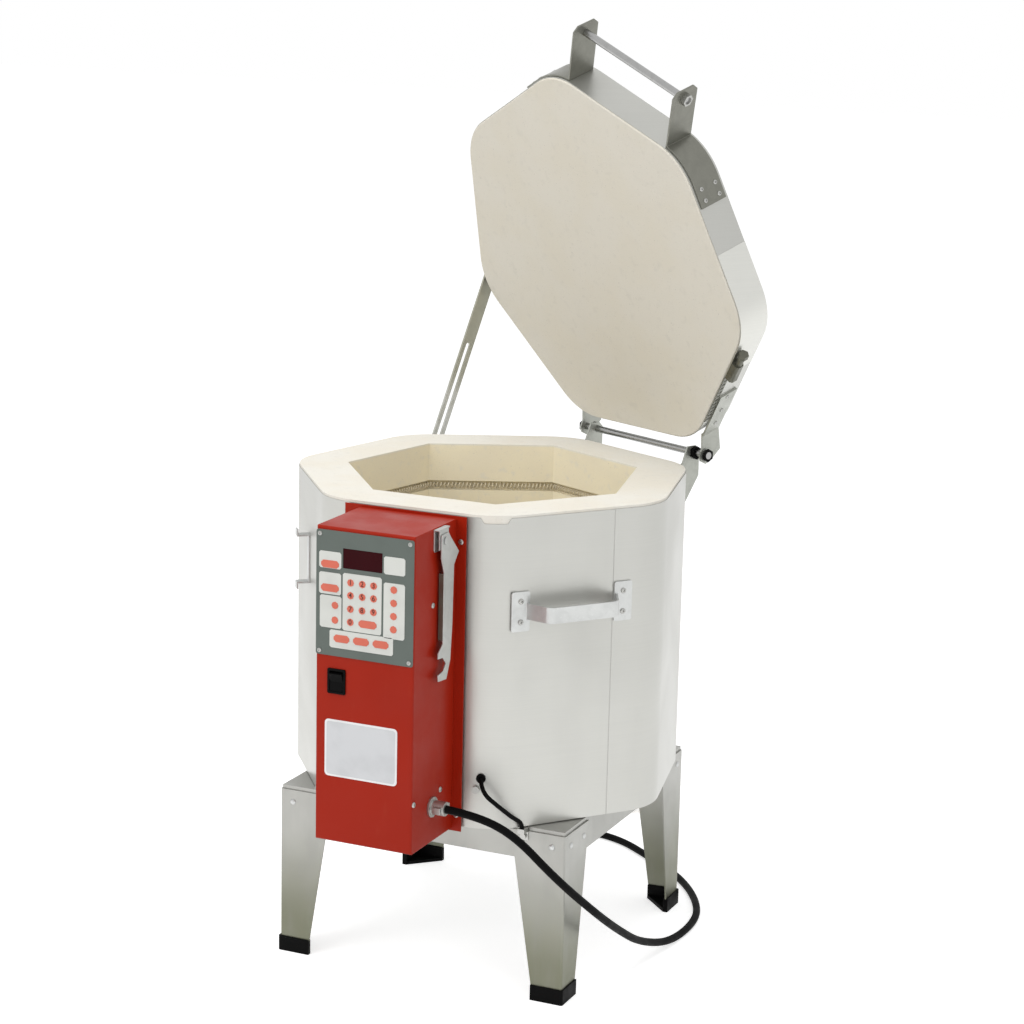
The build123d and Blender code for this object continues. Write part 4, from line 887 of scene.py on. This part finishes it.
def floor_surface():
    """White floor that keeps the object's shadow."""
    material = bpy.data.materials.new("studio_floor")
    material.use_nodes = True
    nodes, links = material.node_tree.nodes, material.node_tree.links
    nodes.remove(nodes["Principled BSDF"])
    matte = nodes.new("ShaderNodeBsdfDiffuse")
    matte.inputs["Color"].default_value = (0.86, 0.86, 0.86, 1)
    glow = nodes.new("ShaderNodeEmission")
    path = nodes.new("ShaderNodeLightPath")
    share = maths(nodes, "Math", "MULTIPLY")
    share.inputs[1].default_value = 0.6
    links.new(shown_ray(nodes, links, path), share.inputs[0])
    links.new(share.outputs[0], glow.inputs["Strength"])
    both = nodes.new("ShaderNodeAddShader")
    links.new(matte.outputs[0], both.inputs[0])
    links.new(glow.outputs[0], both.inputs[1])
    links.new(both.outputs[0], nodes["Material Output"].inputs["Surface"])
    return material


# Cords

def cord_curve(name, points, diameter):
    """Smooth round cord through its control points."""
    curve = bpy.data.curves.new(name, "CURVE")
    curve.dimensions = "3D"
    spline = curve.splines.new("NURBS")
    spline.points.add(len(points) - 1)
    for point, place in zip(spline.points, points):
        point.co = (*place, 1)
    spline.order_u = 3
    spline.use_endpoint_u = True
    spline.resolution_u = 8
    curve.bevel_depth = diameter / 2
    curve.bevel_resolution = 5
    curve.use_fill_caps = True
    return link(name, curve)


def cord_line(curve):
    """Points along the cord's middle, from its curve with no bevel."""
    depth, curve.data.bevel_depth = curve.data.bevel_depth, 0
    bpy.context.view_layer.update()
    mesh = bpy.data.meshes.new_from_object(curve.evaluated_get(bpy.context.evaluated_depsgraph_get()))
    line = [tuple(vertex.co) for vertex in mesh.vertices]
    bpy.data.meshes.remove(mesh)
    curve.data.bevel_depth = depth
    return line


def laid_cord(name, points, diameter, *nodes):
    """Finished cord for the nodes, the line along its middle and its length."""
    curve = cord_curve(name, points, diameter)
    line = cord_line(curve)
    cord = baked(curve)
    smooth(cord.data, 60)
    settle(cord, finishes().rubber, "kiln", *nodes)
    length = sum((Vector(a) - Vector(b)).length for a, b in zip(line, line[1:]))
    return cord, line, length


class KILN_OT_cords(bpy.types.Operator):
    """Mains cord with its put-away coil, and the short earth lead"""
    bl_idname = "kiln.cords"
    bl_label = "Cords"

    def execute(self, context):
        sizes = context.scene.kiln_sizes
        floor = sizes.cord_diameter * 500
        coil_x, coil_y = COIL_CENTRE
        ring = COIL_RING
        route = [(66, -300.6, 268.9), (111, -300.6, 268.9), (171, -300, 254), (221, -278, 196),
                 (247, -202, 128), (242, -118, 78), (237, -34, 32), (247, 46, floor), (252, 120, floor),
                 (236, 186, floor), (184, 268, floor), (110, 332, floor), (28, coil_y - ring, floor),
                 (coil_x + 50, coil_y - ring, floor + 0.3)]
        per_turn = 16
        for k in range(3 * per_turn // 2 + 1):
            angle = -pi / 2 - 2 * pi * k / per_turn
            rise = min(1.0, max(0.0, (k - 10) / 6))
            reach = ring * (1.02 + 0.012 * sin(2.3 * k))
            height = floor + 0.5 + COIL_LIFT * rise
            route.append((coil_x + reach * cos(angle), coil_y + reach * sin(angle), height))
        route.append((coil_x + 50, coil_y + ring, floor + 0.5 + COIL_LIFT))
        points = [at(*p) for p in route]
        cord, line, length = laid_cord("mains_cord", points, sizes.cord_diameter,
                                       "power_cord", "power_cord_coil")
        paint(finishes().black, "power_plug")
        paint(finishes().brass, "plug_blades")
        self.earth_lead(sizes.lead_diameter)
        return {"FINISHED"}

    def earth_lead(self, diameter):
        """Thin lead from the grommet to its lug on the jacket."""
        route = [(99.9, -235.2, 291), (106, -247.5, 286), (115.5, -253.5, 276), (127, -249, 266),
                 (134, -240, 256), (139, -229, 246), (143, -217, 238), (144, -209.5, 232), (144, -207, 225)]
        lead, line, length = laid_cord("earth_wire", [at(*p) for p in route], diameter, "earth_lead")
        rest = clean_copy("earth_lead")
        cut = bmesh.ops.bisect_plane(rest, geom=rest.verts[:] + rest.edges[:] + rest.faces[:], dist=1e-6,
                                     plane_co=at(0, 0, LUG_TOP), plane_no=(0, 0, 1), clear_outer=True)
        rim = [edge for edge in cut["geom_cut"] if isinstance(edge, bmesh.types.BMEdge)]
        bmesh.ops.edgenet_fill(rest, edges=rim)
        settle(built("earth_lug", rest), finishes().screw, "kiln", "earth_lead")


# Brickwork and coils

def corner_arc(wall, face, corner, radius, parts):
    """Plan points round the corner after a wall, on a radius about the middle of its rounding."""
    middle = -pi / 2 + wall * STEP
    reach = (face - corner) / cos(STEP / 2)
    arc = []
    for part in range(parts + 1):
        a = middle - STEP / 2 + STEP * part / parts
        arc.append((reach * cos(middle) + radius * cos(a), reach * sin(middle) + radius * sin(a)))
    return arc


class KILN_OT_brickwork(bpy.types.Operator):
    """Firebrick courses and slabs with worn edges, so that their joints show"""
    bl_idname = "kiln.brickwork"
    bl_label = "Brickwork"

    def execute(self, context):
        edge = context.scene.kiln_sizes.brick_edge
        f = finishes()
        for course in (1, 2, 3):
            softened(f"brick_course_{course}", f"firebricks_{course}", edge, f.brick)
        softened("floor_slab", "floor_firebrick", edge, f.slab)
        softened("lid_slab", "lid_firebrick", edge * 2.4, f.slab, 3)
        paint(f.porcelain, "porcelain_tubes", "thermocouple")
        return {"FINISHED"}


class KILN_OT_heating_coils(bpy.types.Operator):
    """Wound heating wire in the grooves of the walls"""
    bl_idname = "kiln.heating_coils"
    bl_label = "Heating coils"

    def execute(self, context):
        sizes = context.scene.kiln_sizes
        tree = winding_tree()
        line = [(20.0, -WALL_INSIDE)]
        for k in range(7):
            line += corner_arc(k + 0.5, WALL_INSIDE, GROOVE_CORNER, GROOVE_CORNER, 4)
        line.append((-20.0, -WALL_INSIDE))
        for course in (1, 2, 3):
            bottom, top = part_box(f"brick_course_{course}")
            height = (bottom.z + top.z) / 2
            curve = bpy.data.curves.new("coil_path", "CURVE")
            curve.dimensions = "3D"
            spline = curve.splines.new("POLY")
            spline.points.add(len(line) - 1)
            for point, (x, y) in zip(spline.points, line):
                point.co = (*at(x, y, height * 1000), 1)
            coil = apply_tree(link("coil_path", curve), tree, coil_radius=sizes.coil_radius,
                              wire_radius=sizes.wire_radius, turns=sizes.coil_turns, material=finishes().wire)
            coil.name = f"heating_coil_{course}"
            for face in coil.data.polygons:
                face.use_smooth = True
            settle(coil, finishes().wire, "kiln", "heating_elements")
        return {"FINISHED"}


# Sheet metal

class KILN_OT_shell(bpy.types.Operator):
    """Stainless jacket, lid band with its worm clamp, pan and stand"""
    bl_idname = "kiln.shell"
    bl_label = "Shell and stand"

    def execute(self, context):
        sizes = context.scene.kiln_sizes
        f = finishes()
        softened("jacket", "stainless_jacket", sizes.sheet_edge, f.stainless, 1, 50)
        softened("lid_band", "stainless_lid_band", sizes.sheet_edge, f.stainless, 1, 50)
        self.band_lap(f.lap)
        self.seam_lap(f.stainless)
        # The worm clamp's dark plate is partly painted shade.
        softened("band_clamp_strap", "worm_clamp_strap", sizes.sheet_edge * 0.7, f.clamp, 1)
        paint(f.clamp, "band_clamp_screw")
        paint(f.zinc, "bottom_pan")
        softened("stand_rails", "stand_angle_rails", sizes.sheet_edge, f.stand)
        for corner in ("front_left", "front_right", "back_left", "back_right"):
            softened(f"leg_{corner}", f"stand_leg_{corner}", sizes.sheet_edge, f.stand)
            softened(f"foot_{corner}", f"foot_cap_{corner}", 0.0011, f.black, 3)
        return {"FINISHED"}

    def band_lap(self, material):
        """Outer end of the lid's band, which laps over from the front right wall to the clamp."""
        thick = 0.5
        lines = []
        for out in (0, thick):
            arc = corner_arc(1.5, BAND_FACE, BAND_CORNER, BAND_CORNER + out, 12)
            lines.append([wall_point(1, 14, BAND_FACE + out), *arc, wall_point(2, -22, BAND_FACE + out)])
        piece = strip_piece("lid_band_lap", zip(*lines), *BAND_HEIGHTS)
        hinge = next(j for j in frame["record"]["behaviour"]["joints"] if j["name"] == "lid_hinge")
        pivot = Vector(hinge["pos_m"])
        closed = -radians(hinge["range_deg"][0])
        swing = Matrix.Rotation(closed, 4, Vector(hinge["axis"]))
        piece.data.transform(Matrix.Translation(pivot) @ swing @ Matrix.Translation(-pivot))
        smooth(piece.data)
        # The lap takes the lighter stainless copy as painted light.
        settle(piece, material, NODES["lid_band"]["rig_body"])

    def seam_lap(self, material):
        """Inner lap of the jacket's sheet, which shows in its seam."""
        stations = [[wall_point(1, along, out) for out in SEAM_OUT] for along in SEAM_ALONG]
        piece = strip_piece("jacket_seam_lap", stations, *SEAM_HEIGHTS)
        settle(piece, material, "kiln")


def wall_point(index, along, out):
    """Plan point on a wall, in millimetres along it and out from the kiln's axis."""
    turn = index * STEP
    return along * cos(turn) + out * sin(turn), along * sin(turn) - out * cos(turn)


class KILN_OT_hardware(bpy.types.Operator):
    """Hinge, lid handle, brace, vent prop and carrying handle"""
    bl_idname = "kiln.hardware"
    bl_label = "Hardware"

    def execute(self, context):
        sizes = context.scene.kiln_sizes
        f = finishes()
        edge = sizes.sheet_edge
        for side in ("left", "right"):
            softened(f"hinge_post_{side}", f"hinge_stand_{side}", edge, f.post)
            softened(f"lid_strap_{side}", f"lid_hinge_strap_{side}", edge, f.post)
            softened(f"lid_bracket_{side}", f"lid_handle_plate_{side}", edge, f.bracket)
        softened("hinge_collars", "hinge_rod_nuts", edge, f.black)
        softened("brace_arm", "brace_slotted_arm", edge, f.brace)
        hook = softened("vent_prop_arm", "vent_prop_hook", edge, f.zinc)
        # The lip's front faces take the dark clamp finish as a painted shadow of the gap between the hook and
        # the box.
        hook.data.materials.append(f.clamp)
        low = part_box("vent_prop_arm")[0]
        for face in hook.data.polygons:
            if face.center.x < low.x + HOOK_LIP and face.normal.y < -0.5:
                face.material_index = 1
        softened("vent_prop_bracket", "vent_prop_mount", edge, f.zinc)
        softened("carrying_handle", "carrying_grip", edge, f.zinc)
        softened("cord_bracket", "cord_hook_strip", edge, f.zinc)
        paint(f.chrome, "hinge_rod", "lid_handle_rod")
        paint(f.screw, "brace_stud", "lid_stud")
        paint(f.black, "lead_grommet")
        softened("cord_clamp", "cord_connector", 0.0005, f.screw)
        return {"FINISHED"}


class KILN_OT_control_box(bpy.types.Operator):
    """Painted control box, its controller and what it holds"""
    bl_idname = "kiln.control_box"
    bl_label = "Control box"

    def execute(self, context):
        sizes = context.scene.kiln_sizes
        f = finishes()
        softened("box_cover", "control_box_cover", sizes.box_edge, f.paint)
        softened("box_back_plate", "control_box_back", sizes.sheet_edge, f.paint)
        softened("faceplate", "controller_plate", sizes.sheet_edge, f.face)
        keys = softened("keypad", "keypad_film", 0.00018, f.panel, 1)
        keys.data.materials.append(f.key)
        front = min(v.co.y for v in keys.data.vertices)
        for face in keys.data.polygons:
            if face.center.y < front + 0.0003:
                face.material_index = 1
        self.numbers(f.ink)
        softened("switch_housing", "switch_frame", 0.0005, f.black)
        softened("switch_rocker", "switch_button", 0.0008, f.black, 3)
        front = (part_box("box_cover")[0].y - KILN_AXIS.y) * 1000
        bare = plate_piece("bare_plate", PLATE_ACROSS, PLATE_UP, front, 5, 0.5)
        across, up = ((low + PLATE_RIM, high - PLATE_RIM) for low, high in (PLATE_ACROSS, PLATE_UP))
        field = plate_piece("bare_plate_field", across, up, front, 3.5, 0.62)
        for piece, material in ((bare, f.plate), (field, f.field)):
            settle(piece, material, "kiln")
        paint(f.display, "display_module")
        paint(f.board, "circuit_board")
        paint(f.relay, "power_relays")
        paint(f.iron, "transformer")
        paint(f.phenolic, "terminal_blocks")
        paint(f.zinc, "spacers")
        return {"FINISHED"}

    def numbers(self, material):
        """Digits on the ten round keys of the number block."""
        keys = []
        first, last = NUMBER_BLOCK
        for corners, _ in islands("keypad"):
            middle = sum(corners, Vector()) / len(corners)
            beside = (middle.x - KILN_AXIS.x) * 1000
            widest = max((corner - middle).length for corner in corners)
            if widest < KEY_RADIUS and first < beside < last:
                keys.append((round(middle.z, 4), middle.x, min(corner.y for corner in corners)))
        keys.sort(key=lambda key: (-key[0], key[1]))
        shape = bmesh.new()
        for digit, (z, x, y) in zip("1234567890", keys):
            text = bpy.data.curves.new("digit", "FONT")
            text.body = digit
            text.size = 0.0085
            text.align_x = "CENTER"
            text.align_y = "CENTER"
            text.extrude = 0.00008
            text.offset = 0.00012
            piece = baked(link("digit", text))
            place = Matrix.Translation((x, y - 0.00006, z)) @ Matrix.Rotation(pi / 2, 4, "X")
            piece.data.transform(place)
            shape.from_mesh(piece.data)
            bpy.data.objects.remove(piece)
        piece = settle(built("key_numbers", shape), material, "kiln")


CLASSES = (KilnSizes, KilnColours, KILN_OT_stage, KILN_OT_cords, KILN_OT_brickwork, KILN_OT_heating_coils,
           KILN_OT_shell, KILN_OT_hardware, KILN_OT_control_box, KILN_OT_fasteners)
ORDER = ("stage", "cords", "brickwork", "heating_coils", "shell", "hardware", "control_box", "fasteners")


class KILN_PT_sidebar(bpy.types.Panel):
    bl_label = "Electric Kiln"
    bl_idname = "KILN_PT_sidebar"
    bl_space_type = "VIEW_3D"
    bl_region_type = "UI"
    bl_category = "Kiln"

    def draw(self, context):
        layout = self.layout
        for step in ORDER:
            layout.operator(f"kiln.{step}")
        for group in (context.scene.kiln_sizes, context.scene.kiln_colours):
            column = layout.column()
            for name in group.__annotations__:
                column.prop(group, name)


def register():
    for cls in (*CLASSES, KILN_PT_sidebar):
        bpy.utils.register_class(cls)
    bpy.types.Scene.kiln_sizes = bpy.props.PointerProperty(type=KilnSizes)
    bpy.types.Scene.kiln_colours = bpy.props.PointerProperty(type=KilnColours)


def unregister():
    del bpy.types.Scene.kiln_colours
    del bpy.types.Scene.kiln_sizes
    for cls in reversed((*CLASSES, KILN_PT_sidebar)):
        bpy.utils.unregister_class(cls)


def main():
    register()
    for step in ORDER:
        getattr(bpy.ops.kiln, step)()


if __name__ == "__main__":
    main()
